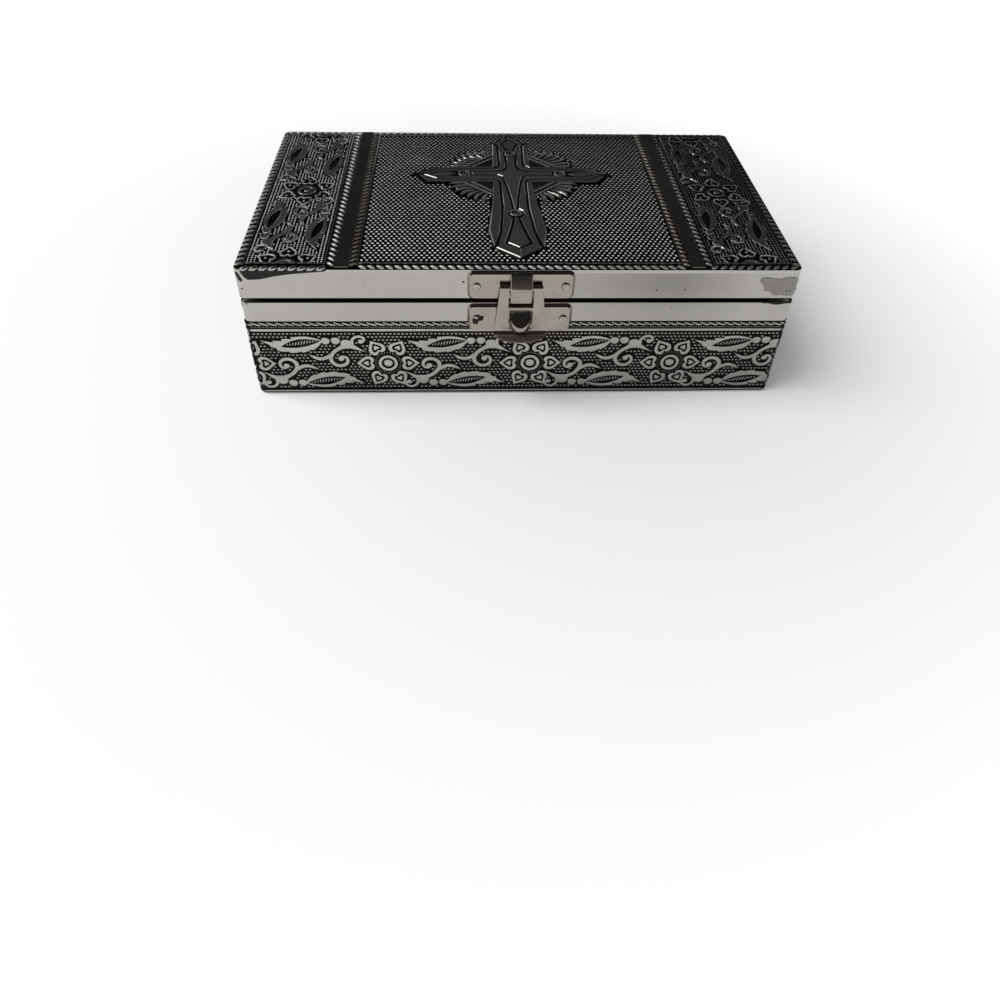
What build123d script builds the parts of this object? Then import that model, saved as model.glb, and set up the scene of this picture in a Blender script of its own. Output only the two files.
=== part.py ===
from build123d import *
import math
import os

# Keepsake box with a hinged lid: fibreboard core, clad in thin embossed metal sheet, velvet inside,
# and a pressed hasp latch at the front. Millimetres. +X to the right, +Y to the back, +Z up.
# The origin is at the middle of the underside, on the surface that the box stands on.

# Box
box_length = 200.0          # left face to right face, over the sheet
box_depth = 119.0           # front face to back face, over the sheet
box_height = 54.6           # table to the ground of the lid's embossed sheet
lid_height = 11.8           # lid's lower rim to its top
corner_radius = 2.5         # upright corners, over the sheet
wall_thickness = 6.0        # body's core panels
base_thickness = 4.0
base_rebate = 3.0           # how far the base panel is let into the walls
rail_thickness = 6.0        # lid's core rails
lid_board_thickness = 4.5

# Metal sheet
sheet_thickness = 0.3
fold_bevel = 0.25           # outside of the sheet where it folds over an edge
lid_lip = 1.5               # how far the lid's embossed sheet turns down over the edge
plain_strip_height = 8.0    # bright strip round the top of the body
underside_hem = 7.0         # body sheet folded under the base

# Cover and lining
cover_thickness = 0.5
cover_inset = 2.5           # cover's edge inside the box's outline
lining_thickness = 1.2
lining_drop = 1.0           # top of a lining below the rim
floor_pad_thickness = 2.5
lid_pad_thickness = 1.5
lining_clearance = 0.2

# Hinges
hinge_inset = 40.0          # box's end face to the middle of a hinge
hinge_length = 25.0
leaf_width = 5.2
leaf_thickness = 0.6
leaf_gap = 0.3              # between the folded leaves
knuckle_radius = 1.3
pin_radius = 0.6
pin_clearance = 0.04        # radial, lid's knuckle on the pin
pin_inset = 0.6             # pin's axis inside the back face
knuckle_gap = 0.3           # between knuckles along the pin, and round them
hinge_nail_spacing = 16.0
hinge_nail_radius = 0.5
hinge_nail_head_radius = 1.0
hinge_nail_head_height = 0.45
hinge_nail_length = 5.5
hinge_nail_inset = 3.4      # nail's axis from the pin's axis

# Latch plates
plate_length = 38.2
plate_height = 11.5
plate_corner = 2.4
plate_rise = 1.2            # face in front of the box
plate_bevel = 1.0           # width of the sloping border
plate_sheet = 0.5
lid_plate_edge = 0.4        # from the lid's top edge down to the plate
body_plate_edge = 0.4       # from the body's rim down to the plate
nail_spacing = 31.6
nail_head_radius = 1.6
nail_head_height = 1.1
nail_crown_radius = 1.28    # where the dome turns over
nail_crown_height = 0.6
nail_top_radius = 0.56      # flat top of the dome
nail_shank_radius = 0.7
nail_length = 5.0           # in the wood, from the face of the box
nail_hole_clearance = 0.05

# Tongue that holds the hasp
tongue_width = 7.9
tongue_sheet = 0.6
tongue_end_radius = 1.2
tongue_end_rise = 0.5       # free end above the plate's lower edge
tongue_root_drop = 0.3      # its top below the plate's upper edge
tongue_knee_reach = 2.1     # where it turns down, in front of the box
tongue_reach = 4.7          # crease in front of the box
tongue_crease_rise = 0.4    # crease above the bar's axis
tongue_tail_reach = 3.7     # free end in front of the box
tongue_bend_radius = 1.0

# Hasp
bar_radius = 1.15           # rolled top bar
bar_bore_radius = 0.45
bar_play = 0.4              # bar to the tongue's crease
bar_drop = 6.0              # bar's axis below the lid's top
hasp_sheet = 0.8
hasp_top_width = 15.2
hasp_bottom_width = 18.8
hasp_bend_radius = 1.4      # outside of the bend into the lip
hasp_face_length = 17.4     # bar's axis to the root of the lip
hasp_slot_clearance = 0.5   # each side of the tongue
hasp_slot_depth = 7.4       # bar's axis to the upper edge of the crosspiece
hasp_crosspiece = 0.9
hasp_window_clearance = 0.5  # each side of the catch
hasp_lower_bar = 0.6        # below the window, above the lip
window_corner = 1.0
lip_reach = 4.4             # in front of the hasp's face
lip_fall = 1.4              # its tip below its root

# Catch
catch_width = 7.7
catch_reach = 6.2           # nose in front of the box
catch_top_gap = 1.2         # below the body plate's upper edge
catch_nose_rise = 1.7       # its nose above its underside
catch_swing_room = 0.7      # hasp's lower bar to the catch's underside
catch_sheet = 0.7

# Embossed work on the lid, from its edges inwards
relief_height = 0.5
edge_rope_width = 2.2
side_panel_width = 29.8     # flower panel with its frame
inner_rope_width = 2.6      # between the side panel and the smooth bar
smooth_bar_width = 5.5
field_rope_width = 2.9      # between the smooth bar and the dotted field
flower_panel_centre = 18.0  # flower's centre from the box's end face
flower_ring_radius = 4.0

# Cross on the dotted field
cross_end_margin = 5.9      # tips of the head and the foot inside the box's faces
cross_arm_margin = 15.4     # tips of the arms inside the dotted field's ends
cross_arm_drop = 38.6       # arms' middle line below the tip of the head
cross_head_width = 14.6
cross_head_length = 6.5
cross_shaft_width = 16.8    # where the arms leave it
cross_arm_width = 15.4      # at the shaft
cross_arm_end_width = 13.0  # where its point starts
cross_arm_point_length = 6.6
cross_foot_width = 22.4     # at its widest
cross_foot_length = 20.6    # widest place to the tip
cross_toe_width = 18.4
cross_toe_length = 8.0

# Embossed work on the body
flower_pitch = 54.0
flower_shift = 4.7          # flower nearest the middle
band_centre_height = 14.6
rope_band_height = 3.3
rope_bevel = 0.45
plate_seat_clearance = 0.3  # flattened place round the latch plate

head_facets = 16            # sides of a small round head or flower heart
cut_margin = 1.0            # how far a cutting shape passes the piece that it cuts
tolerance = 0.01            # for finding edges by their place

# Levels and places that follow
leaf_stack = 2 * leaf_thickness + leaf_gap
lid_bottom = box_height - lid_height
body_top = lid_bottom - leaf_stack
front = -box_depth / 2
back = box_depth / 2
core_length = box_length - 2 * sheet_thickness
core_depth = box_depth - 2 * sheet_thickness
core_radius = corner_radius - sheet_thickness
core_bottom = cover_thickness + sheet_thickness
core_top = body_top - sheet_thickness
base_top = core_bottom + base_thickness
well_length = core_length - 2 * wall_thickness
well_depth = core_depth - 2 * wall_thickness
lid_core_bottom = lid_bottom + sheet_thickness
lid_core_top = box_height - sheet_thickness
board_bottom = lid_core_top - lid_board_thickness
recess_length = core_length - 2 * rail_thickness
recess_depth = core_depth - 2 * rail_thickness
strip_bottom = body_top - plain_strip_height
panel_start = box_length / 2 - edge_rope_width - side_panel_width
field_half_length = panel_start - inner_rope_width - smooth_bar_width - field_rope_width
hinge_y = back - pin_inset
hinge_z = (lid_bottom + body_top) / 2
hinge_places = [("left", hinge_inset - box_length / 2), ("right", box_length / 2 - hinge_inset)]
lid_plate_z = box_height - lid_plate_edge - plate_height / 2
body_plate_z = body_top - body_plate_edge - plate_height / 2
bar_z = box_height - bar_drop
bar_out = tongue_reach - tongue_sheet - bar_play - bar_radius
hasp_out = bar_out + bar_radius
lip_root_z = bar_z - hasp_face_length
window_bottom = lip_root_z + hasp_lower_bar
window_top = bar_z - hasp_slot_depth - hasp_crosspiece
catch_bottom = window_bottom + catch_swing_room
catch_top = body_top - body_plate_edge - catch_top_gap

# Latch pieces are drawn looking at the front: X, height, and out from the box's front face.
latch_face = Plane(origin=(0, front, 0), x_dir=(1, 0, 0), z_dir=(0, -1, 0))
# Their side profiles are drawn as (out from the front face, height).
latch_side = Plane(origin=(0, front, 0), x_dir=(0, -1, 0), z_dir=(-1, 0, 0))
# The lip and the catch are drawn from above as (X, out from the front face).
latch_plan = Plane(origin=(0, front, 0), x_dir=(1, 0, 0), z_dir=(0, 0, -1))


def block(x_range, y_range, z_range):
    size = [high - low for low, high in (x_range, y_range, z_range)]
    middle = [(high + low) / 2 for low, high in (x_range, y_range, z_range)]
    return Pos(*middle) * Box(*size)


def rounded_block(length, depth, radius, low, high):
    outline = RectangleRounded(length, depth, radius) if radius > 0 else Rectangle(length, depth)
    return extrude(Pos(0, 0, low) * outline, high - low)


def outline_ring(low, high, width):
    """Ring that follows the box's outline, as deep as width from the outer face inwards."""
    outer = rounded_block(box_length, box_depth, corner_radius, low, high)
    inner = rounded_block(box_length - 2 * width, box_depth - 2 * width, corner_radius - width, low, high)
    return outer - inner


def on_outline(edge):
    """True for an edge that lies on the box's outer outline."""
    middle = edge @ 0.5
    x_in = box_length / 2 - abs(middle.X)
    y_in = box_depth / 2 - abs(middle.Y)
    corner_sag = corner_radius * (1 - math.sqrt(0.5))
    at_corner = max(abs(x_in - corner_sag), abs(y_in - corner_sag)) < tolerance
    return min(x_in, y_in) < tolerance or at_corner


def fold_edges(piece, level):
    """Takes the sharpness off the sheet's outer edge where it folds at one level."""
    at_level = [e for e in piece.edges() if abs((e @ 0.5).Z - level) < tolerance]
    return chamfer([e for e in at_level if on_outline(e)], fold_bevel)


def hinge_notch(centre_x):
    """Room for the knuckles, cut in the back edges of body and lid."""
    reach = knuckle_radius + knuckle_gap
    half = hinge_length / 2 + knuckle_gap
    return block(
        (centre_x - half, centre_x + half),
        (hinge_y - reach, back + cut_margin),
        (hinge_z - reach, hinge_z + reach),
    )


def hinge_notches():
    return [hinge_notch(x) for _, x in hinge_places]


def hinge_nail_places():
    half = hinge_nail_spacing / 2
    return [(x + side * half, hinge_y - hinge_nail_inset) for _, x in hinge_places for side in (-1, 1)]


def hinge_nail(up):
    """Countersunk tack with a square shank, its head flush; up is 1 into the lid, -1 into the body."""
    slope = math.degrees(math.atan((hinge_nail_head_radius - hinge_nail_radius) / hinge_nail_head_height))
    head = extrude(RegularPolygon(hinge_nail_head_radius, head_facets), hinge_nail_head_height, taper=slope)
    shank_width = 2 * hinge_nail_radius
    shank = extrude(Rectangle(shank_width, shank_width), leaf_thickness + hinge_nail_length)
    nail = head + shank
    return nail if up > 0 else Rot(180, 0, 0) * nail


def hinge_nails(up):
    face = lid_bottom - leaf_thickness if up > 0 else body_top + leaf_thickness
    return [Pos(x, y, face) * hinge_nail(up) for x, y in hinge_nail_places()]


def latch_nail_places(plate_z):
    return [(side * nail_spacing / 2, plate_z) for side in (-1, 1)]


def latch_nails(plate_z):
    """Dome-headed tacks with a square shank, drawn along the latch's outward direction."""
    rim = RegularPolygon(nail_head_radius, head_facets)
    crown = Pos(0, 0, nail_crown_height) * RegularPolygon(nail_crown_radius, head_facets)
    top = Pos(0, 0, nail_head_height) * RegularPolygon(nail_top_radius, head_facets)
    head = loft([rim, crown, top], ruled=True)
    shank = extrude(Rectangle(2 * nail_shank_radius, 2 * nail_shank_radius), -plate_rise - nail_length)
    nail = head + shank
    return [latch_face * Pos(x, z, plate_rise) * nail for x, z in latch_nail_places(plate_z)]


def body_panels():
    height = (core_bottom, core_top)
    rebate = block(
        (-well_length / 2 - base_rebate, well_length / 2 + base_rebate),
        (-well_depth / 2 - base_rebate, well_depth / 2 + base_rebate),
        (core_bottom, base_top),
    )
    shell = rounded_block(core_length, core_depth, core_radius, *height)
    front_half = block((-box_length, box_length), (front, -well_depth / 2), height)
    back_half = block((-box_length, box_length), (well_depth / 2, back), height)
    sides = (-well_depth / 2, well_depth / 2)
    left = block((-core_length / 2, -well_length / 2), sides, height)
    right = block((well_length / 2, core_length / 2), sides, height)
    return {
        "front_panel": (shell & front_half) - rebate - latch_nails(body_plate_z),
        "back_panel": (shell & back_half) - rebate - hinge_notches() - hinge_nails(-1),
        "left_panel": left - rebate,
        "right_panel": right - rebate,
        "base_panel": rebate,
    }


def lid_panels():
    height = (lid_core_bottom, board_bottom)
    shell = rounded_block(core_length, core_depth, core_radius, *height)
    front_half = block((-box_length, box_length), (front, -recess_depth / 2), height)
    back_half = block((-box_length, box_length), (recess_depth / 2, back), height)
    sides = (-recess_depth / 2, recess_depth / 2)
    return {
        "lid_board": rounded_block(core_length, core_depth, core_radius, board_bottom, lid_core_top),
        "lid_front_rail": (shell & front_half) - latch_nails(lid_plate_z),
        "lid_back_rail": (shell & back_half) - hinge_notches() - hinge_nails(1),
        "lid_left_rail": block((-core_length / 2, -recess_length / 2), sides, height),
        "lid_right_rail": block((recess_length / 2, core_length / 2), sides, height),
    }


def flower_places():
    """Places on the four faces for the flowers of the body, a pitch apart along each face."""
    places = []
    for face_length, face_out, turn, first in (
        (box_length, box_depth / 2, 0, flower_shift),
        (box_depth, box_length / 2, 90, 0),
        (box_length, box_depth / 2, 180, 0),
        (box_depth, box_length / 2, -90, 0),
    ):
        reach = face_length / 2 - corner_radius - flower_ring_radius
        count = int(face_length / flower_pitch)
        along = [first + n * flower_pitch for n in range(-count, count + 1)]
        places += [Rot(0, 0, turn) * Pos(x, -face_out, band_centre_height) for x in along if abs(x) < reach]
    return places


def embossed_body_band():
    """Patterned sheet round the body, folded under the base, with a raised rope and raised flower hearts."""
    band = outline_ring(cover_thickness, strip_bottom, sheet_thickness)
    hem = outline_ring(cover_thickness, core_bottom, underside_hem)
    band = fold_edges(band + hem, cover_thickness)
    rope = rounded_block(
        box_length + 2 * relief_height, box_depth + 2 * relief_height, corner_radius + relief_height,
        strip_bottom - rope_band_height, strip_bottom,
    )
    rope = chamfer(rope.edges().filter_by(Plane.XY), rope_bevel)
    rope -= rounded_block(core_length, core_depth, core_radius, cover_thickness, strip_bottom)
    rope -= block(
        (-plate_length / 2 - plate_seat_clearance, plate_length / 2 + plate_seat_clearance),
        (front - cut_margin, front),
        (body_plate_z - plate_height / 2 - plate_seat_clearance, body_top),
    )
    heart = Rot(90, 0, 0) * extrude(RegularPolygon(flower_ring_radius, head_facets), relief_height, both=True)
    hearts = [place * heart for place in flower_places()]
    inside = rounded_block(core_length, core_depth, core_radius, core_bottom, strip_bottom)
    return band + rope + [heart - inside for heart in hearts]


def plain_rim_strip():
    """Bright strip round the top of the body, folded inwards over the rim as far as the lining."""
    band = outline_ring(strip_bottom, body_top, sheet_thickness)
    hem = outline_ring(core_top, body_top, wall_thickness + sheet_thickness)
    strip = fold_edges(band + hem, body_top)
    return strip - hinge_notches() - hinge_nails(-1) - latch_nails(body_plate_z)


def lid_rim_strip():
    """Bright strip round the lid's edge, folded inwards under the rails."""
    band = outline_ring(lid_bottom, box_height - lid_lip, sheet_thickness)
    hem = outline_ring(lid_bottom, lid_core_bottom, rail_thickness + sheet_thickness)
    strip = fold_edges(band + hem, lid_bottom)
    return strip - hinge_notches() - hinge_nails(1) - latch_nails(lid_plate_z)


def cross_outline():
    """Broad cross with pointed arms and head and a flared, pointed foot."""
    tip = box_depth / 2 - cross_end_margin
    arm = tip - cross_arm_drop
    arm_tip = field_half_length - cross_arm_margin
    arm_end = arm_tip - cross_arm_point_length
    half = [
        (0, tip),
        (cross_head_width / 2, tip - cross_head_length),
        (cross_shaft_width / 2, arm + cross_arm_width / 2),
        (arm_end, arm + cross_arm_end_width / 2),
        (arm_tip, arm),
        (arm_end, arm - cross_arm_end_width / 2),
        (cross_shaft_width / 2, arm - cross_arm_width / 2),
        (cross_foot_width / 2, cross_foot_length - tip),
        (cross_toe_width / 2, cross_toe_length - tip),
        (0, -tip),
    ]
    mirrored = [(-x, y) for x, y in reversed(half[1:-1])]
    return make_face(Polyline(*half, *mirrored, close=True))


def embossed_lid_sheet():
    """Patterned sheet over the lid: ground, turned-down lip, ropes, flower bosses and cross."""
    lip_bottom = box_height - lid_lip
    sheet = rounded_block(box_length, box_depth, corner_radius, lip_bottom, box_height)
    sheet -= rounded_block(core_length, core_depth, core_radius, lip_bottom, lid_core_top)
    sheet = fold_edges(sheet, box_height)
    top = Plane(origin=(0, 0, box_height))
    rope_length = box_depth - 2 * edge_rope_width
    raised = [top * cross_outline()]
    for side in (-1, 1):
        inner_rope_x = side * (panel_start - inner_rope_width / 2)
        field_rope_x = side * (field_half_length + field_rope_width / 2)
        flower_x = side * (box_length / 2 - flower_panel_centre)
        raised.append(top * Pos(inner_rope_x, 0) * Rectangle(inner_rope_width, rope_length))
        raised.append(top * Pos(field_rope_x, 0) * Rectangle(field_rope_width, rope_length))
        raised.append(top * Pos(flower_x, 0) * RegularPolygon(flower_ring_radius, head_facets))
    return sheet + [extrude(face, relief_height) for face in raised]


def base_cover():
    """Felt that the box stands on, thicker inside the folded sheet."""
    x_in = box_length / 2 - underside_hem - lining_clearance
    y_in = box_depth / 2 - underside_hem - lining_clearance
    middle = block((-x_in, x_in), (-y_in, y_in), (0, core_bottom))
    edge = rounded_block(
        box_length - 2 * cover_inset, box_depth - 2 * cover_inset, corner_radius, 0, cover_thickness
    )
    return middle + edge


def linings(prefix, length, depth, low, high, pad_name, pad_range):
    """Four velvet-covered boards round a recess and the pad that lies between them."""
    x_out, y_out = length / 2, depth / 2
    x_in, y_in = x_out - lining_thickness, y_out - lining_thickness
    pad_x, pad_y = x_in - lining_clearance, y_in - lining_clearance
    return {
        prefix + "front_lining": block((-x_out, x_out), (-y_out, -y_in), (low, high)),
        prefix + "back_lining": block((-x_out, x_out), (y_in, y_out), (low, high)),
        prefix + "left_lining": block((-x_out, -x_in), (-y_in, y_in), (low, high)),
        prefix + "right_lining": block((x_in, x_out), (-y_in, y_in), (low, high)),
        pad_name: block((-pad_x, pad_x), (-pad_y, pad_y), pad_range),
    }


def hinge_leaf(centre_x, up):
    """Leaf of a butt hinge: up is 1 for the lid's, with one knuckle, and -1 for the body's, with two."""
    face = lid_bottom if up > 0 else body_top
    thickness = (face - leaf_thickness, face) if up > 0 else (face, face + leaf_thickness)
    ends = (centre_x - hinge_length / 2, centre_x + hinge_length / 2)
    third = hinge_length / 3
    if up > 0:
        spans = [(ends[0] + third + knuckle_gap / 2, ends[1] - third - knuckle_gap / 2)]
    else:
        spans = [(ends[0], ends[0] + third - knuckle_gap / 2), (ends[1] - third + knuckle_gap / 2, ends[1])]
    free_edge = hinge_y - knuckle_radius - knuckle_gap
    leaf = block(ends, (hinge_y - leaf_width, free_edge), thickness)
    bore = pin_radius + pin_clearance if up > 0 else pin_radius
    for low, high in spans:
        leaf += block((low, high), (free_edge, hinge_y), thickness)
        leaf += Pos((low + high) / 2, hinge_y, hinge_z) * Rot(0, 90, 0) * Cylinder(knuckle_radius, high - low)
    leaf -= Pos(centre_x, hinge_y, hinge_z) * Rot(0, 90, 0) * Cylinder(bore, hinge_length + cut_margin)
    corners = leaf.edges().filter_by(Axis.Z).group_by(Axis.Y)[0]
    return fillet(corners, leaf_thickness) - hinge_nails(up)


def hinge_pin(centre_x):
    return Pos(centre_x, hinge_y, hinge_z) * Rot(0, 90, 0) * Cylinder(pin_radius, hinge_length)


def pressed_plate(plate_z):
    """Shallow pressed plate: flat face, sloping border and hollow back."""
    slope = math.degrees(math.atan(plate_bevel / plate_rise))
    outer = extrude(RectangleRounded(plate_length, plate_height, plate_corner), plate_rise, taper=slope)
    back_length = plate_length - 2 * plate_sheet
    back_height = plate_height - 2 * plate_sheet
    back = RectangleRounded(back_length, back_height, plate_corner - plate_sheet)
    hollow = extrude(back, plate_rise - plate_sheet, taper=slope)
    hole_width = 2 * (nail_shank_radius + nail_hole_clearance)
    hole = Box(hole_width, hole_width, 4 * plate_rise)
    holes = [Pos(x, 0, 0) * hole for x in (-nail_spacing / 2, nail_spacing / 2)]
    return latch_face * Pos(0, plate_z, 0) * (outer - hollow - holes)


def tongue():
    """Strip folded out of the lid plate's upper edge and down over the hasp's bar, with a free lower end."""
    top = lid_plate_z + plate_height / 2 - tongue_root_drop
    end = lid_plate_z - plate_height / 2 + tongue_end_rise
    room = 2 * tongue_sheet
    outline = Polyline(
        (-room, top),
        (tongue_knee_reach, top),
        (tongue_reach, bar_z + tongue_crease_rise),
        (tongue_tail_reach, end - room),
        (-room, end - room),
        close=True,
    )
    pocket = make_face(outline)
    bends = [v for v in pocket.vertices() if v.X > 0 and v.Y > end]
    pocket = fillet(bends, tongue_bend_radius)
    strip = pocket - offset(pocket, -tongue_sheet)
    keep = Pos(tongue_reach, (top + end) / 2) * Rectangle(2 * tongue_reach - plate_rise, top - end)
    strip = extrude(latch_side * (strip & keep), tongue_width / 2, both=True)
    rounded_end = Pos(0, (top + end) / 2 + tongue_end_radius) * RectangleRounded(
        tongue_width, top - end + 2 * tongue_end_radius, tongue_end_radius
    )
    return strip & extrude(latch_face * rounded_end, 2 * tongue_reach)


def lid_latch_plate():
    return pressed_plate(lid_plate_z) + tongue()


def catch_solid(width, reach, bottom):
    """D-shaped nose under a sloping top."""
    radius = width / 2
    plan = Circle(radius).face()
    plan = Pos(0, reach - radius) * plan + Pos(0, (reach - radius) / 2) * Rectangle(width, reach - radius)
    nose = extrude(latch_plan * Pos(0, 0, -catch_top) * plan, catch_top - bottom)
    slope = Polyline(
        (plate_rise - plate_sheet, catch_top),
        (catch_reach, catch_bottom + catch_nose_rise),
        (2 * catch_reach, catch_bottom + catch_nose_rise),
        (2 * catch_reach, catch_top + cut_margin),
        (plate_rise - plate_sheet, catch_top + cut_margin),
        close=True,
    )
    return nose - extrude(latch_side * make_face(slope), width, both=True)


def body_latch_plate():
    """Pressed plate with the catch standing out of it, open below like a scoop."""
    catch = catch_solid(catch_width, catch_reach, catch_bottom)
    inside = catch_solid(catch_width - 2 * catch_sheet, catch_reach - catch_sheet, catch_bottom - cut_margin)
    inside = Pos(0, 0, -catch_sheet) * inside
    behind = block(
        (-catch_width, catch_width),
        (front - plate_rise + plate_sheet, 0),
        (catch_bottom - cut_margin, body_top),
    )
    return pressed_plate(body_plate_z) + (catch - behind) - inside


def hasp_blade():
    """Bent strip, wider downwards, with a curled lip that is half an ellipse from above."""
    tip_z = lip_root_z - lip_fall
    path = FilletPolyline(
        (hasp_out, bar_z),
        (hasp_out, lip_root_z),
        (hasp_out + lip_reach, tip_z),
        radius=hasp_bend_radius,
    )
    profile = make_face(offset(path, hasp_sheet, side=Side.RIGHT))
    blade = extrude(latch_side * profile, hasp_bottom_width, both=True)
    low = tip_z - hasp_sheet - cut_margin
    half = [
        (hasp_top_width / 2, bar_z),
        (hasp_bottom_width / 2, lip_root_z),
        (hasp_bottom_width / 2, low),
    ]
    mirrored = [(-x, z) for x, z in reversed(half)]
    outline = make_face(Polyline(*half, *mirrored, close=True))
    blade &= extrude(latch_face * outline, 2 * (hasp_out + lip_reach))
    lip_plan = Pos(0, hasp_out) * Ellipse(hasp_bottom_width / 2, lip_reach)
    lip_plan += Pos(0, hasp_out / 2) * Rectangle(hasp_bottom_width, hasp_out)
    return blade & extrude(latch_plan * Pos(0, 0, -bar_z) * lip_plan, bar_z - low)


def hasp():
    """Lever with a rolled bar at its top, a slot for the tongue and a window for the catch."""
    slot_width = tongue_width + 2 * hasp_slot_clearance
    slot = Pos(0, bar_z - hasp_slot_depth / 2) * Rectangle(slot_width, hasp_slot_depth)
    window_width = catch_width + 2 * hasp_window_clearance
    window = RectangleRounded(window_width, window_top - window_bottom, window_corner)
    window = Pos(0, (window_top + window_bottom) / 2) * window
    openings = [extrude(latch_face * shape, hasp_out + tolerance) for shape in (slot, window)]
    bar = Cylinder(bar_radius, hasp_top_width) - Cylinder(bar_bore_radius, hasp_top_width)
    return hasp_blade() - openings + Pos(0, front - bar_out, bar_z) * Rot(0, 90, 0) * bar


def rosary_box():
    pieces = {}
    pieces.update(body_panels())
    pieces["embossed_body_band"] = embossed_body_band()
    pieces["plain_rim_strip"] = plain_rim_strip()
    pieces["base_cover"] = base_cover()
    pieces.update(linings(
        "", well_length, well_depth, base_top, body_top - lining_drop,
        "floor_pad", (base_top, base_top + floor_pad_thickness),
    ))
    pieces.update(lid_panels())
    pieces["embossed_lid_sheet"] = embossed_lid_sheet()
    pieces["lid_rim_strip"] = lid_rim_strip()
    pieces.update(linings(
        "lid_", recess_length, recess_depth, lid_bottom + lining_drop, board_bottom,
        "lid_pad", (board_bottom - lid_pad_thickness, board_bottom),
    ))
    for side, x in hinge_places:
        pieces[side + "_hinge_body_leaf"] = hinge_leaf(x, -1)
        pieces[side + "_hinge_lid_leaf"] = hinge_leaf(x, 1)
        pieces[side + "_hinge_pin"] = hinge_pin(x)
    pieces["hinge_body_nails"] = Compound(children=hinge_nails(-1))
    pieces["hinge_lid_nails"] = Compound(children=hinge_nails(1))
    pieces["body_latch_plate"] = body_latch_plate()
    pieces["body_latch_nails"] = Compound(children=latch_nails(body_plate_z))
    pieces["lid_latch_plate"] = lid_latch_plate()
    pieces["lid_latch_nails"] = Compound(children=latch_nails(lid_plate_z))
    pieces["hasp"] = hasp()
    return pieces


os.makedirs("parts", exist_ok=True)
for name, piece in rosary_box().items():
    export_step(piece, f"parts/{name}.step")
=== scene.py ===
import bpy
import math
from mathutils import Matrix, Vector
from mathutils.bvhtree import BVHTree


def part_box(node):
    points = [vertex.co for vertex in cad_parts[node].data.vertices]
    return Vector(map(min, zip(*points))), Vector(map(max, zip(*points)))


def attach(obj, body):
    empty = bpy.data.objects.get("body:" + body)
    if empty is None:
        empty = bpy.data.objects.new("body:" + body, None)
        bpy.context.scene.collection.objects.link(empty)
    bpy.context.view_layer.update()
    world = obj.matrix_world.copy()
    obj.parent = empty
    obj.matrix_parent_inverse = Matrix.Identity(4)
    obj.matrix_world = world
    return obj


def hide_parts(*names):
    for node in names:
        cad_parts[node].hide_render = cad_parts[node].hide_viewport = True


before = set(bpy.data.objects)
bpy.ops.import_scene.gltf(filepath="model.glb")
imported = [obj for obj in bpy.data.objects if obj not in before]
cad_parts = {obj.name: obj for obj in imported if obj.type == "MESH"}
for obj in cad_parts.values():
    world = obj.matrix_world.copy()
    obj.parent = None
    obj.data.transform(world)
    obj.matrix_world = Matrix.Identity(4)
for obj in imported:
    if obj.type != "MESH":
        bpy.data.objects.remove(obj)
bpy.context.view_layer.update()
toMetres = Matrix.Scale(0.001, 4)

# Everything below is drawn in millimetres and brought to metres when a piece is finished.


def sizeOf(node):
    low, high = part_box(node)
    return low * 1000, high * 1000


rimLow, rimHigh = sizeOf("plain_rim_strip")

box = {
    "length": rimHigh.x - rimLow.x,
    "depth": rimHigh.y - rimLow.y,
    "corner": 2.5,
    "sheet": 0.3,
    "bandTop": rimLow.z,
    "bandBottom": sizeOf("embossed_body_band")[0].z,
}
box["lidGround"] = sizeOf("lid_board")[1].z + box["sheet"]


# small helpers

def pick(*pieces):
    bpy.ops.object.select_all(action="DESELECT")
    for piece in pieces:
        piece.select_set(True)
    bpy.context.view_layer.objects.active = pieces[0]


def named(name):
    piece = bpy.context.object
    piece.name = name
    piece.data.name = name
    return piece


def linked(name, data):
    thing = bpy.data.objects.new(name, data)
    bpy.context.collection.objects.link(thing)
    return thing


def joined(name, pieces):
    pick(*pieces)
    if len(pieces) > 1:
        bpy.ops.object.join()
    return named(name)


def moved(piece, matrix):
    piece.data.transform(matrix)
    if matrix.determinant() < 0:
        piece.data.flip_normals()
    return piece


def copied(piece, matrix):
    twin = piece.copy()
    twin.data = piece.data.copy()
    bpy.context.collection.objects.link(twin)
    return moved(twin, matrix)


def shift(x, y, z=0):
    return Matrix.Translation((x, y, z))


def turn(degrees, axis="Z"):
    return Matrix.Rotation(math.radians(degrees), 4, axis)


def stretch(x, y, z=1):
    return Matrix.Diagonal((x, y, z, 1))


def between(ends, share):
    return ends[0] + (ends[1] - ends[0]) * share


def mirrored(outline, axis=0):
    # half of a shape, closed with its image beyond the line where this axis is 0
    inner = [point for point in outline if abs(point[axis]) > 0.001]
    flipU, flipV = (1, -1) if axis else (-1, 1)
    return outline + [(flipU * u, flipV * v, *rest) for u, v, *rest in reversed(inner)]


def worked(piece, kind, **settings):
    # adds one modifier and applies it
    pick(piece)
    step = piece.modifiers.new("Step", kind)
    for key, value in settings.items():
        setattr(step, key, value)
    bpy.ops.object.modifier_apply(modifier=step.name)
    return piece


def repeated(piece, count, step):
    return worked(
        piece, "ARRAY", count=count, use_relative_offset=False, use_constant_offset=True,
        constant_offset_displace=step,
    )


def edited(piece, *steps):
    # mesh operators with their settings, each used on the whole piece
    pick(piece)
    bpy.ops.object.mode_set(mode="EDIT")
    for operator, settings in steps:
        bpy.ops.mesh.select_all(action="SELECT")
        operator(**settings)
    bpy.ops.object.mode_set(mode="OBJECT")
    return piece


def trimmed(piece, point, inward):
    cut = {"plane_co": point, "plane_no": inward, "clear_inner": True, "use_fill": True}
    return edited(piece, (bpy.ops.mesh.bisect, cut))


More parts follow.
